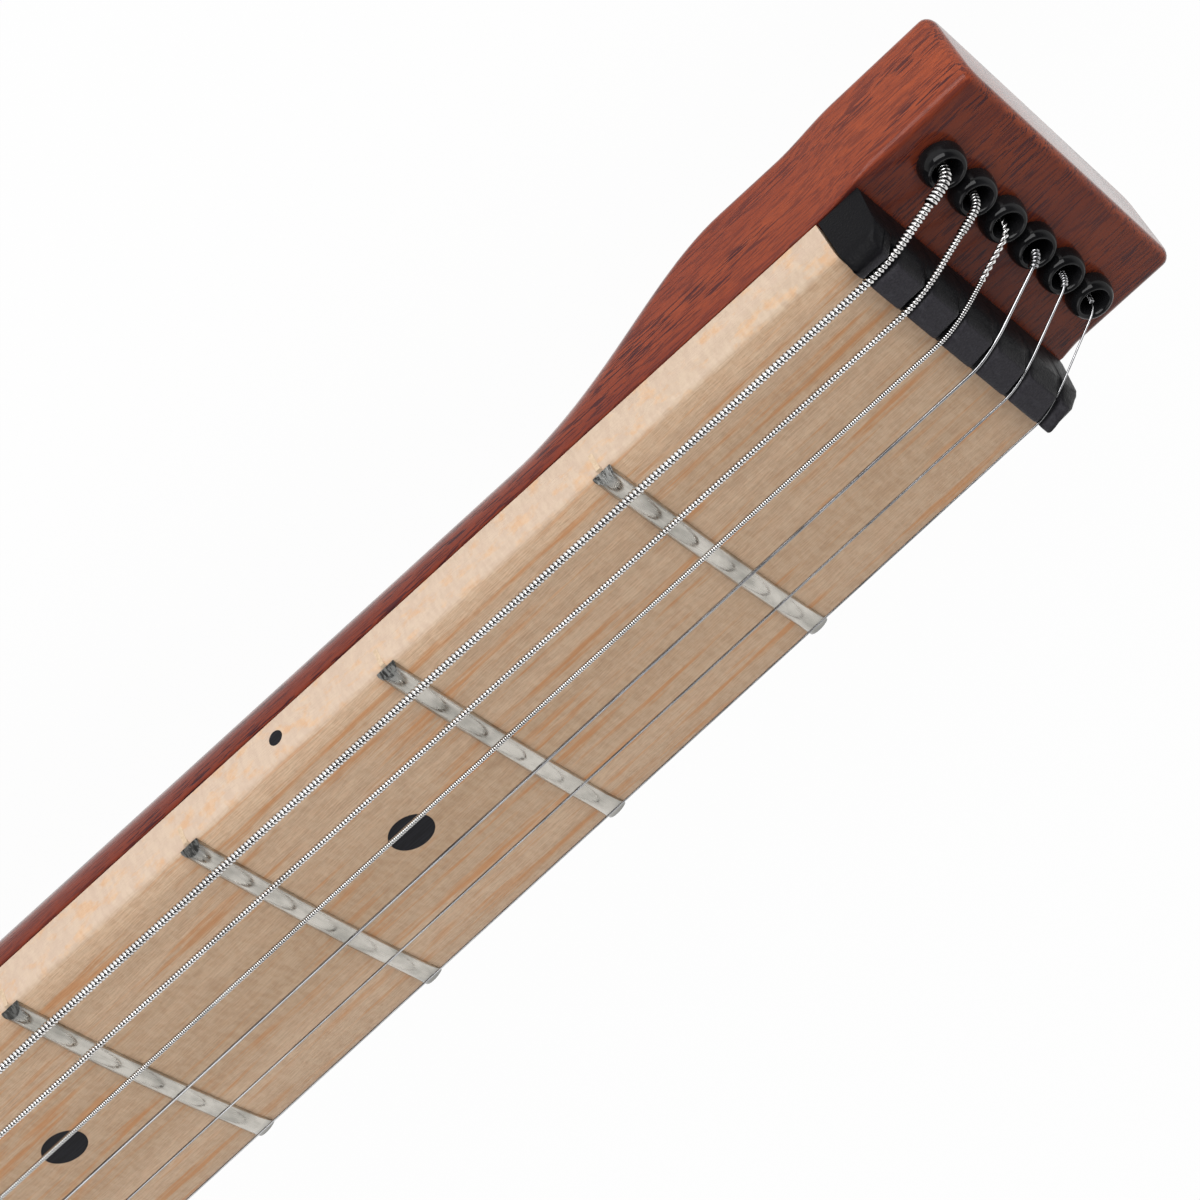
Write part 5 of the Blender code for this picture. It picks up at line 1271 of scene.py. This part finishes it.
def make_strings(wound, plain, brass):
    mouth_length = HEAD_DEPTH - 3.4 * MM + FERRULE_HEIGHT
    for i, name in enumerate(STRING_NAMES):
        radius = STRING_DIAMETERS[i] / 2
        route, near = string_centre(i)
        end = route.length - 0.3 * MM
        if i == 0:
            split = mouth_length + 4.0 * MM
            parts = [wrapped_wire(route, 0.78 * MM, 0.52 * MM, 0, split, 14, [(0.25, 0.8), (0.5, 1.0), (0.75, 0.8)]),
                     wrapped_wire(route, radius, WRAP_PITCH[0], split - 0.6 * MM, end, 10,
                                  [(0.18, 0.7), (0.5, 1.0), (0.82, 0.7)])]
        elif i == 1:
            split = mouth_length + 4.2 * MM
            parts = [wrapped_wire(route, 0.58 * MM, 0.44 * MM, 0, split, 12, [(0.25, 0.8), (0.5, 1.0), (0.75, 0.8)]),
                     wrapped_wire(route, radius, WRAP_PITCH[1], split - 0.6 * MM, end, 8,
                                  [(0.18, 0.7), (0.5, 1.0), (0.82, 0.7)])]
        elif i == 2:
            split = mouth_length + 7.0 * MM
            parts = [twisted_wires(route, 0.19 * MM, 0.23 * MM, 1.7 * MM, 0.2 * MM, split),
                     wrapped_wire(route, radius, WRAP_PITCH[2], split - 0.5 * MM, end, 7, [(0.3, 1.0), (0.7, 1.0)], 0.3)]
        else:
            reach = mouth_length - (0.2, 0.9, 1.3)[i - 3] * MM
            parts = [plain_wire(route, radius, 0.2 * MM, end, 10),
                     coil_round(route, radius, radius, reach - 0.2 * MM, (5, 6, 5)[i - 3])]
        string_piece("string_wire_" + name, parts, wound if i < 3 else plain, ("string_" + name,))
        bm = bmesh.new()
        place = (SCALE + FERRULE_X, ferrule_y(i), BODY_THICKNESS - HEAD_DEPTH + 2.3 * MM)
        rim, bore, high = BALL_RADIUS, 0.9 * MM, 1.5 * MM
        lathe(bm, [(bore, -high), (rim - 0.4 * MM, -high), (rim, -high + 0.5 * MM), (rim - 0.5 * MM, 0),
                   (rim, high - 0.5 * MM), (rim - 0.4 * MM, high), (bore, high)], 32, along((0, 1, 0), place))
        piece("ball_end_" + name, bm, brass)


# Small fasteners

def screw_mesh(name, radius, height, slots):
    """A domed screw head with a cross or a single slot, or a hexagon socket."""
    bm = bmesh.new()
    profile = [(0, -height), (radius * 0.5, -height), (radius * 0.5, 0), (radius, 0), (radius, height * 0.35),
               (radius * 0.86, height * 0.75), (radius * 0.55, height * 0.96), (0, height)]
    lathe(bm, profile, 28)
    cutters = []
    if slots:
        for turn in range(slots):
            tool = bmesh.new()
            long, thin = (radius * 0.55, radius * 0.13) if slots == 2 else (radius * 1.2, radius * 0.16)
            block(tool, (-long, -thin, height * 0.3), (long, thin, height * 2))
            bmesh.ops.rotate(tool, verts=tool.verts, matrix=Matrix.Rotation(math.pi / 2 * turn, 3, "Z"))
            cutters.append(cutter(tool))
    else:
        tool = bmesh.new()
        lathe(tool, [(0, -height * 0.2), (radius * 0.5, -height * 0.2), (radius * 0.5, height * 2), (0, height * 2)], 6)
        cutters.append(cutter(tool))
    mesh = cut(bm, cutters)
    mesh.name = name
    mesh.shade_smooth()
    mesh.set_sharp_from_angle(angle=math.radians(SMOOTH_ANGLE))
    return mesh


def put_screws(name, mesh, places, axis, finish, body="guitar"):
    """One piece of several identical screws, each turned to its own angle."""
    bm = bmesh.new()
    for number, place in enumerate(places):
        part = bmesh.new()
        part.from_mesh(mesh)
        turn = Matrix.Rotation(0.7 * number + 0.3, 4, "Z")
        bmesh.ops.transform(part, matrix=along(axis, place) @ turn, verts=part.verts)
        copy = bpy.data.meshes.new("part")
        part.to_mesh(copy)
        part.free()
        bm.from_mesh(copy)
        bpy.data.meshes.remove(copy)
    piece(name, bm, finish, body)


def make_screws(metal, steel):
    cross = screw_mesh("cross_screw", 1.7 * MM, 1.0 * MM, 2)
    small = screw_mesh("small_cross_screw", 1.25 * MM, 0.7 * MM, 2)
    socket = screw_mesh("socket_screw", 1.2 * MM, 0.9 * MM, 0)
    slotted = screw_mesh("slotted_screw", 2.6 * MM, 0.9 * MM, 1)
    flat = screw_mesh("flat_cross_screw", 1.6 * MM, 0.27 * MM, 2)
    low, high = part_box("bridge_plate")
    top = BODY_THICKNESS + GAP + BRIDGE_THICKNESS
    put_screws("bridge_screws", cross,
               [(high[0] - 4 * MM, y, top) for y in (low[1] + 4 * MM, high[1] - 4 * MM)]
               + [(low[0] + 7 * MM, y, top) for y in (low[1] + 4 * MM, high[1] - 4 * MM)], (0, 0, 1), metal)
    low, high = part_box("pickup_ring")
    put_screws("ring_screws", small, [(x, y, high[2]) for x in (low[0] + 4 * MM, high[0] - 4 * MM)
                                      for y in (low[1] + 4 * MM, high[1] - 4 * MM)], (0, 0, 1), metal)
    put_screws("pickup_height_screws", small, [(PICKUP_X, low[1] + 4 * MM, high[2]), (PICKUP_X, high[1] - 4 * MM, high[2])],
               (0, 0, 1), steel)
    low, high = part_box("control_cover")
    put_screws("cover_screws", flat, [(x, y, low[2]) for x in (low[0] + 4 * MM, high[0] - 4 * MM)
                                       for y in (low[1] + 3 * MM, high[1] - 3 * MM)], (0, 0, -1), metal)
    for i, name in enumerate(STRING_NAMES):
        low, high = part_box("tuner_plate_" + name)
        y0 = (low[1] + high[1]) / 2
        put_screws("tuner_screws_" + name, small, [(low[0] + 2 * MM, y0 + side * 3.2 * MM, PLATE_BOTTOM)
                                                   for side in (1, -1)], (0, 0, -1), metal)
        low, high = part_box("saddle_" + name)
        x0 = -COMPENSATION[i]
        put_screws("saddle_height_screws_" + name, socket,
                   [(x0 - 0.2 * MM, (low[1] + high[1]) / 2 + side * 3.3 * MM, high[2] - 0.3 * MM) for side in (1, -1)],
                   (0, 0, 1), steel, "saddle_" + name)
        put_screws("saddle_length_screw_" + name, small, [(BRIDGE_REAR, (low[1] + high[1]) / 2,
                                                           BODY_THICKNESS + GAP + 3.1 * MM)], (-1, 0, 0), steel)
    for name, axis, place in strap_button_places():
        tip = Vector(place) + Vector(axis) * STRAP_BUTTON_LENGTH
        put_screws("screw_" + name, slotted, [tip], axis, steel)


# Lap rest and arm rest

REST_SIDES = 24
REST_BEND_STEPS = 12
REST_WAIST_STEPS = 16


def rest_line(side, reach):
    """The rod's centre line, as in the CAD but with finer steps."""
    inner = BODY_HALF_WIDTH - REST_SOCKET_DEPTH + 1 * MM
    outer = BODY_HALF_WIDTH + reach
    middle, half = (REST_REAR_X + REST_FRONT_X) / 2, (REST_FRONT_X - REST_REAR_X) / 2
    waist = REST_WAIST if side < 0 else -REST_WAIST * 0.6
    straight = half - REST_BEND
    points = [(half, inner), (half, inner + 2 * MM), (half, outer - REST_BEND)]
    for i in range(1, REST_BEND_STEPS):
        angle = math.radians(90 * i / REST_BEND_STEPS)
        points.append((straight + REST_BEND * math.cos(angle), outer + REST_BEND * (math.sin(angle) - 1)))
    for i in range(REST_WAIST_STEPS + 1):
        share = 1 - i / REST_WAIST_STEPS
        points.append((straight * share, outer - waist * 0.5 * (1 + math.cos(math.pi * share))))
    line = [Vector((middle - x, side * y, REST_Z)) for x, y in points]
    return line + [Vector((middle + x, side * y, REST_Z)) for x, y in reversed(points[:-1])]


def make_rests(finish):
    """Round rods with chamfered ends, their end rings a little narrower."""
    up = Vector((0, 0, 1))
    for name, side, reach in (("lap_rest", -1, LAP_REST_REACH), ("arm_rest", 1, ARM_REST_REACH)):
        line = rest_line(side, reach)
        rings = []
        for i, place in enumerate(line):
            ahead = (line[min(i + 1, len(line) - 1)] - line[max(i - 1, 0)]).normalized()
            flat = Vector((-ahead.y, ahead.x, 0))
            thick = REST_ROD_RADIUS * (0.82 if i in (0, len(line) - 1) else 1)
            rings.append([place + thick * (math.cos(angle) * flat + math.sin(angle) * up)
                          for angle in (2 * math.pi * k / REST_SIDES for k in range(REST_SIDES))])
        bm = bmesh.new()
        loft(bm, rings)
        piece(name + "_rod", bm, finish, name, (name,))


# Tuners, knobs, strap buttons and jack, rounder than in the CAD

ROUND_SIDES = 40

def rod_profile(radius, low, high):
    """Profile of a plain rod or round hole, for lathe."""
    return [(0, low), (radius, low), (radius, high), (0, high)]


def wheel_outline(turn):
    """Worm wheel outline, with the middle of a gap at angle 0 before the turn is added."""
    root = (WHEEL_PITCH_RADIUS - TOOTH_DEDENDUM, TOOTH_HALF * 1.45)
    tip = (WHEEL_PITCH_RADIUS + TOOTH_ADDENDUM, TOOTH_HALF * 0.62)
    step = 2 * math.pi / WHEEL_TEETH
    points = []
    for tooth in range(WHEEL_TEETH):
        middle = (tooth + 0.5) * step + turn
        for (radius, half), flank in ((root, -1), (tip, -1), (tip, 1), (root, 1)):
            points.append((radius, middle + flank * half / radius))
    return [(radius * math.cos(angle), radius * math.sin(angle)) for radius, angle in points]


def turned(name, profile, to_world, finish, extra=(), body="guitar", cutters=(), nut=None):
    """A lathed piece with lofted parts and a hexagonal nut, in place of the CAD's node of that name."""
    bm = bmesh.new()
    lathe(bm, profile, ROUND_SIDES, to_world)
    if nut:
        lathe(bm, nut, 6, to_world)
    if cutters:
        mesh = cut(bm, cutters)
        bm = bmesh.new()
        bm.from_mesh(mesh)
    for rings in extra:
        loft(bm, rings)
    piece(name + "_turned", bm, finish, body, (name,))


def worm_thread(centre):
    steps = int(24 * WORM_TURNS)
    rings = []
    for i in range(steps + 1):
        turn = (i / steps - 0.5) * WORM_TURNS * 2 * math.pi
        ahead = TOOTH_PITCH * turn / (2 * math.pi)
        spoke = Vector((-math.cos(turn), 0, math.sin(turn)))
        rings.append([centre + spoke * reach + Vector((0, ahead + shift, 0)) for reach, shift in (
            (WORM_CORE_RADIUS - GAP, -THREAD_HALF_ROOT), (WORM_CREST_RADIUS, -THREAD_HALF_CREST),
            (WORM_CREST_RADIUS, THREAD_HALF_CREST), (WORM_CORE_RADIUS - GAP, THREAD_HALF_ROOT))])
    return rings


def key_button(centre, side, start):
    """Flattened egg, from its neck on the shaft to its rounded end."""
    rings = []
    for i in range(20):
        swing = math.radians(-72 + 160 * i / 19)
        wide = BUTTON_HALF_WIDTH * math.cos(swing) ** 0.75
        along_y = side * (start + BUTTON_LENGTH * (0.5 + 0.5 * math.sin(swing)))
        rings.append([centre + Vector((wide * math.cos(angle), along_y, 0.5 * wide * math.sin(angle)))
                      for angle in (2 * math.pi * k / ROUND_SIDES for k in range(ROUND_SIDES))])
    return rings


def make_tuners(finish):
    twist = TOOTH_PITCH / (2 * math.pi * WORM_PITCH_RADIUS) * WHEEL_FACE / 2 / WHEEL_PITCH_RADIUS
    foot, top = WORM_Z - WHEEL_FACE / 2 - POST_PAST_WHEEL, DECK_TOP + POST_ABOVE_DECK
    waist_low = DECK_TOP + BUSHING_FLANGE_THICKNESS + 2 * GAP + POST_STEP
    waist_high = DECK_TOP + WINDING_TOP_ABOVE_DECK + 1.4 * MM
    post = [(0, foot), (POST_RADIUS, foot), (POST_RADIUS, waist_low), (POST_WAIST, waist_low + POST_STEP),
            (POST_WAIST, waist_high - 0.6 * MM), (POST_RADIUS, waist_high), (POST_RADIUS, top - 0.6 * MM),
            (POST_RADIUS - 0.18 * MM, top - 0.18 * MM), (POST_RADIUS - 0.6 * MM, top), (0, top)]
    bore, seat = POST_RADIUS + GAP, DECK_TOP + GAP
    flange = seat + BUSHING_FLANGE_THICKNESS
    bushing = [(bore, DECK_TOP - BUSHING_LENGTH), (BUSHING_RADIUS, DECK_TOP - BUSHING_LENGTH), (BUSHING_RADIUS, seat),
               (BUSHING_FLANGE, seat), (BUSHING_FLANGE, flange - 0.5 * MM), (BUSHING_FLANGE - 0.2 * MM, flange - 0.15 * MM),
               (BUSHING_FLANGE - 0.6 * MM, flange), (bore + 0.2 * MM, flange), (bore, flange - 0.2 * MM)]
    inner = -EAR_INNER - EAR_THICKNESS - SHAFT_PAST_EAR
    for i, name in enumerate(STRING_NAMES):
        x, y, side = post_place(i)
        place = Matrix.Translation((x, y, 0))
        hole = plug(rod_profile(STRING_HOLE_RADIUS, -POST_RADIUS - CUT_PAST, POST_RADIUS + CUT_PAST),
                    along((1, 0, 0), (x, y, DECK_TOP + WINDING_TOP_ABOVE_DECK - 0.8 * MM)), 16)
        wheel = [[Vector((x + px, y + py, WORM_Z + end * WHEEL_FACE / 2)) for px, py in wheel_outline(end * twist)]
                 for end in (-1, 1)]
        node = "tuner_post_" + name
        turned(node, post, place, finish, extra=[wheel], body=node, cutters=[hole])
        turned("tuner_bushing_" + name, bushing, place, finish)
        centre = Vector((x + WORM_OFFSET, y, WORM_Z))
        start = deck_half_width(centre.x) - abs(y) + BUTTON_PAST_DECK
        node = "tuner_key_" + name
        turned(node, rod_profile(WORM_CORE_RADIUS, inner, start + SHAFT_IN_BUTTON), along((0, side, 0), centre), finish,
               extra=[worm_thread(centre), key_button(centre, side, start)], body=node)


def make_knobs(finish):
    """Fluted knobs with a rounded top."""
    floor = BODY_THICKNESS - CAVITY_ROOF - POT_DEPTH + 4 * MM
    low = BODY_THICKNESS + GAP + POT_NUT_HEIGHT + KNOB_LIFT
    high = low + KNOB_HEIGHT
    rows = [(SHAFT_RADIUS, floor, 0), (SHAFT_RADIUS, low, 0), (KNOB_RADIUS * 0.96, low, 0.6), (KNOB_RADIUS, low + 0.5 * MM, 1)]
    for i in range(7):
        angle = math.radians(15 * i)
        rows.append((KNOB_RADIUS * (0.7 + 0.25 * math.cos(angle)), high - 1.8 * MM * (1 - math.sin(angle)), 1 - i / 6))
    for name, x in (("volume_knob", VOLUME_X), ("tone_knob", TONE_X)):
        bm = bmesh.new()
        rings = []
        for radius, z, fluted in rows:
            ring = []
            for k in range(8 * KNOB_RIBS):
                angle = math.pi * k / (4 * KNOB_RIBS)
                reach = radius - fluted * 2 * KNURL_DEPTH * max(0, -math.cos(KNOB_RIBS * angle)) ** 0.7
                ring.append(Vector((x + reach * math.cos(angle), KNOB_Y + reach * math.sin(angle), z)))
            rings.append(ring)
        loft(bm, rings)
        piece(name + "_fluted", bm, finish, name, (name,), sharp=30)


def make_round_parts(gloss, steel, plate_finish):
    neck, rim, length = STRAP_BUTTON_NECK, STRAP_BUTTON_RADIUS, STRAP_BUTTON_LENGTH
    profile = [(0, GAP), (rim * STRAP_FOOT_SHARE, GAP), (rim * 0.66, 1.0 * MM), (neck * 1.1, 2.2 * MM), (neck, 3.4 * MM),
               (neck, length * 0.6), (rim * 0.8, length * 0.74), (rim, length * 0.84), (rim, length * 0.91),
               (rim * 0.9, length * 0.975), (rim * 0.6, length), (0, length)]
    for name, axis, place in strap_button_places():
        turned(name, profile, along(axis, place), gloss)
    seat = BODY_HALF_WIDTH - JACK_SEAT_DEPTH
    inside = seat - JACK_DEPTH
    plate_out = seat + GAP + JACK_PLATE_THICKNESS
    nut_low = plate_out + GAP
    nut_high = nut_low + JACK_NUT_HEIGHT
    end = nut_high + JACK_BARREL_PAST_NUT
    to_side = along((0, -1, 0), (JACK_X, 0, JACK_Z))
    turned("jack_socket", [(0, inside), (JACK_CAN, inside), (JACK_CAN, seat - 1.5 * MM), (JACK_BARREL, seat - 1.5 * MM),
                           (JACK_BARREL, nut_high), (JACK_BARREL, end - 0.2 * MM), (JACK_BARREL - 0.2 * MM, end),
                           (JACK_BORE + 0.3 * MM, end), (JACK_BORE, end - 0.3 * MM), (JACK_BORE, inside + 2 * MM),
                           (0, inside + 2 * MM)], to_side, steel,
           nut=[(JACK_BARREL, nut_low), (JACK_NUT_RADIUS, nut_low), (JACK_NUT_RADIUS, nut_high - 0.3 * MM),
                (JACK_NUT_RADIUS * 0.93, nut_high), (JACK_BARREL, nut_high)])
    turned("jack_plate", [(JACK_BARREL + GAP, seat + GAP), (JACK_PLATE_RADIUS, seat + GAP),
                          (JACK_PLATE_RADIUS, plate_out - 0.5 * MM), (JACK_PLATE_RADIUS - 0.25 * MM, plate_out - 0.15 * MM),
                          (JACK_PLATE_RADIUS - 0.8 * MM, plate_out), (JACK_BARREL + GAP, plate_out)], to_side, plate_finish)


# Carried-over nodes

def soften_group():
    """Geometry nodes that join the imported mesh's split points and shade it smooth below an angle."""
    group = bpy.data.node_groups.new("soften", "GeometryNodeTree")
    group.interface.new_socket("Geometry", in_out="INPUT", socket_type="NodeSocketGeometry")
    group.interface.new_socket("Geometry", in_out="OUTPUT", socket_type="NodeSocketGeometry")
    nodes, links = group.nodes, group.links
    start, end = nodes.new("NodeGroupInput"), nodes.new("NodeGroupOutput")
    merge = nodes.new("GeometryNodeMergeByDistance")
    merge.inputs["Distance"].default_value = 0.001 * MM
    smooth = nodes.new("GeometryNodeSetShadeSmooth")
    sharp = nodes.new("GeometryNodeSetShadeSmooth")
    sharp.domain = "EDGE"
    angle = nodes.new("GeometryNodeInputMeshEdgeAngle")
    over = nodes.new("FunctionNodeCompare")
    over.operation = "GREATER_THAN"
    over.inputs[1].default_value = math.radians(SMOOTH_ANGLE)
    sharp.inputs["Shade Smooth"].default_value = False
    links.new(start.outputs[0], merge.inputs["Geometry"])
    links.new(merge.outputs["Geometry"], smooth.inputs["Geometry"])
    links.new(smooth.outputs["Geometry"], sharp.inputs["Geometry"])
    links.new(angle.outputs["Unsigned Angle"], over.inputs[0])
    links.new(over.outputs["Result"], sharp.inputs["Selection"])
    links.new(sharp.outputs["Geometry"], end.inputs[0])
    return group


def dress_nodes(finishes):
    """Give every carried-over CAD node its finish, soft shading and small bevels."""
    group = soften_group()
    for name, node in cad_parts.items():
        if node.hide_render:
            continue
        slot = next(finish for start, finish in finishes if name.startswith(start))
        node.data.materials.clear()
        node.data.materials.append(slot)
        soften = node.modifiers.new("soften", "NODES")
        soften.node_group = group
        bevel = node.modifiers.new("bevel", "BEVEL")
        bevel.width = 0.25 * MM
        bevel.segments = 2
        bevel.limit_method = "ANGLE"
        bevel.angle_limit = math.radians(45)
        bevel.harden_normals = True


# Camera, light and ground

def set_camera():
    place, aim = Vector(CAMERA_PLACE), Vector(CAMERA_AIM)
    ahead = (aim - place).normalized()
    level = ahead.cross(Vector((0, 0, 1))).normalized()
    raised = level.cross(ahead)
    roll = math.radians(CAMERA_ROLL)
    right = level * math.cos(roll) + raised * math.sin(roll)
    up = right.cross(ahead)
    data = bpy.data.cameras.new("camera")
    data.lens = CAMERA_LENS
    data.clip_start = 0.01
    camera = bpy.data.objects.new("camera", data)
    camera.matrix_world = Matrix.Translation(place) @ Matrix((right, up, -ahead)).transposed().to_4x4()
    bpy.context.scene.collection.objects.link(camera)
    bpy.context.scene.camera = camera


def add_light(name, direction, distance, size, power):
    centre = Vector((0.33, 0, 0.03))
    place = centre + Vector(direction).normalized() * distance
    data = bpy.data.lights.new(name, "AREA")
    data.shape = "RECTANGLE"
    data.size, data.size_y = size
    data.energy = power
    light = bpy.data.objects.new(name, data)
    light.matrix_world = Matrix.Translation(place) @ (centre - place).to_track_quat("-Z", "Y").to_matrix().to_4x4()
    bpy.context.scene.collection.objects.link(light)


def shown_as_background(tree):
    """1 for rays that should meet the plain white background."""
    path = tree.nodes.new("ShaderNodeLightPath")
    either = tree.nodes.new("ShaderNodeMath")
    either.operation = "MAXIMUM"
    tree.links.new(path.outputs["Is Camera Ray"], either.inputs[0])
    tree.links.new(path.outputs["Is Glossy Ray"], either.inputs[1])
    last = tree.nodes.new("ShaderNodeMath")
    last.operation = "MAXIMUM"
    tree.links.new(either.outputs[0], last.inputs[0])
    tree.links.new(path.outputs["Is Transmission Ray"], last.inputs[1])
    return last.outputs[0]


def set_ground():
    world = bpy.data.worlds.new("studio")
    bpy.context.scene.world = world
    world.use_nodes = True
    tree = world.node_tree
    path = tree.nodes.new("ShaderNodeLightPath")
    direction = tree.nodes.new("ShaderNodeTexCoord")
    facing = tree.nodes.new("ShaderNodeVectorMath")
    facing.operation = "DOT_PRODUCT"
    facing.inputs[1].default_value = Vector(DARK_SIDE).normalized()
    tree.links.new(direction.outputs["Generated"], facing.inputs[0])
    shade = tree.nodes.new("ShaderNodeMapRange")
    for socket, number in (("From Min", 0.25), ("From Max", 0.65), ("To Min", 1.0), ("To Max", DARK_SIDE_LEVEL)):
        shade.inputs[socket].default_value = number
    tree.links.new(facing.outputs["Value"], shade.inputs["Value"])
    reflected = tree.nodes.new("ShaderNodeMapRange")
    reflected.inputs["To Min"].default_value = WORLD_LIGHT
    tree.links.new(path.outputs["Is Glossy Ray"], reflected.inputs["Value"])
    tree.links.new(shade.outputs["Result"], reflected.inputs["To Max"])
    plain = tree.nodes.new("ShaderNodeMath")
    plain.operation = "MAXIMUM"
    tree.links.new(path.outputs["Is Camera Ray"], plain.inputs[0])
    tree.links.new(path.outputs["Is Transmission Ray"], plain.inputs[1])
    strength = tree.nodes.new("ShaderNodeMath")
    strength.operation = "MAXIMUM"
    tree.links.new(plain.outputs[0], strength.inputs[0])
    tree.links.new(reflected.outputs["Result"], strength.inputs[1])
    back = tree.nodes["Background"]
    tree.links.new(strength.outputs[0], back.inputs["Strength"])
    back.inputs["Color"].default_value = (1, 1, 1, 1)
    bm = bmesh.new()
    bmesh.ops.create_grid(bm, x_segments=1, y_segments=1, size=GROUND_SIZE,
                          matrix=Matrix.Translation((0.3, 0, cad_box[0][2] - 0.1 * MM)))
    mesh = bpy.data.meshes.new("ground")
    bm.to_mesh(mesh)
    bm.free()
    ground = bpy.data.objects.new("ground", mesh)
    bpy.context.scene.collection.objects.link(ground)
    finish = Finish("ground_white", 0.9, Specular_IOR_Level=0.0)
    speckle = finish.span(finish.noise((60, 60, 60), 3), 0.3, 0.7)
    finish.colour(finish.mix(speckle, (0.88, 0.88, 0.88), (0.90, 0.90, 0.90)))
    tree = finish.tree
    glow = tree.nodes.new("ShaderNodeEmission")
    glow.inputs["Strength"].default_value = 1.0
    blend = tree.nodes.new("ShaderNodeMixShader")
    share = tree.nodes.new("ShaderNodeMath")
    share.operation = "MULTIPLY"
    share.inputs[1].default_value = GROUND_GLOW
    tree.links.new(shown_as_background(tree), share.inputs[0])
    tree.links.new(share.outputs[0], blend.inputs[0])
    tree.links.new(finish.shader.outputs[0], blend.inputs[1])
    tree.links.new(glow.outputs[0], blend.inputs[2])
    output = next(node for node in tree.nodes if node.type == "OUTPUT_MATERIAL")
    tree.links.new(blend.outputs[0], output.inputs["Surface"])
    mesh.materials.append(finish.material)


WORLD_LIGHT = 0.36
DARK_SIDE = (0.25, 0.68, 0.69)
DARK_SIDE_LEVEL = 0.03
GROUND_SIZE = 6
GROUND_GLOW = 0.965


def main():
    bpy.context.scene.view_settings.view_transform = "Standard"
    set_camera()
    set_ground()
    add_light("key_light", (0.5, 0.95, 0.35), 1.6, (1.5, 0.9), 24)
    add_light("top_light", (-0.35, 0.2, 1.0), 0.9, (0.8, 0.6), 3)
    mahogany, maple = mahogany_finish(), maple_finish()
    wound = wire_finish("wound_nickel_wire", (0.86, 0.85, 0.84), (0.62, 0.61, 0.60), 0.2)
    plain = wire_finish("plain_steel_wire", (0.44, 0.44, 0.45), (0.28, 0.28, 0.29), 0.18)
    coated, plastic, steel = coated_metal_finish(), moulded_plastic_finish(), steel_finish()
    gloss = gloss_black_finish("black_chrome")
    make_neck(mahogany)
    make_board(maple)
    make_frets(fret_finish(), slot_filler_finish())
    make_dots(dot_finish())
    make_nut(nut_finish())
    make_ferrules(gloss)
    make_strings(wound, plain, brass_finish())
    make_screws(gloss, steel)
    make_rests(coated)
    make_tuners(coated)
    make_knobs(gloss)
    make_round_parts(gloss, steel, coated)
    dress_nodes([("humbucker", plastic), ("pickup_ring", plastic), ("control_cover", plastic), ("volume_knob", gloss),
                 ("tone_knob", gloss), ("volume_pot", steel), ("tone_pot", steel), ("jack_socket", steel),
                 ("truss_rod", steel), ("bridge_plate", coated), ("saddle", coated), ("strap", gloss),
                 ("tuner", coated), ("", coated)])


main()
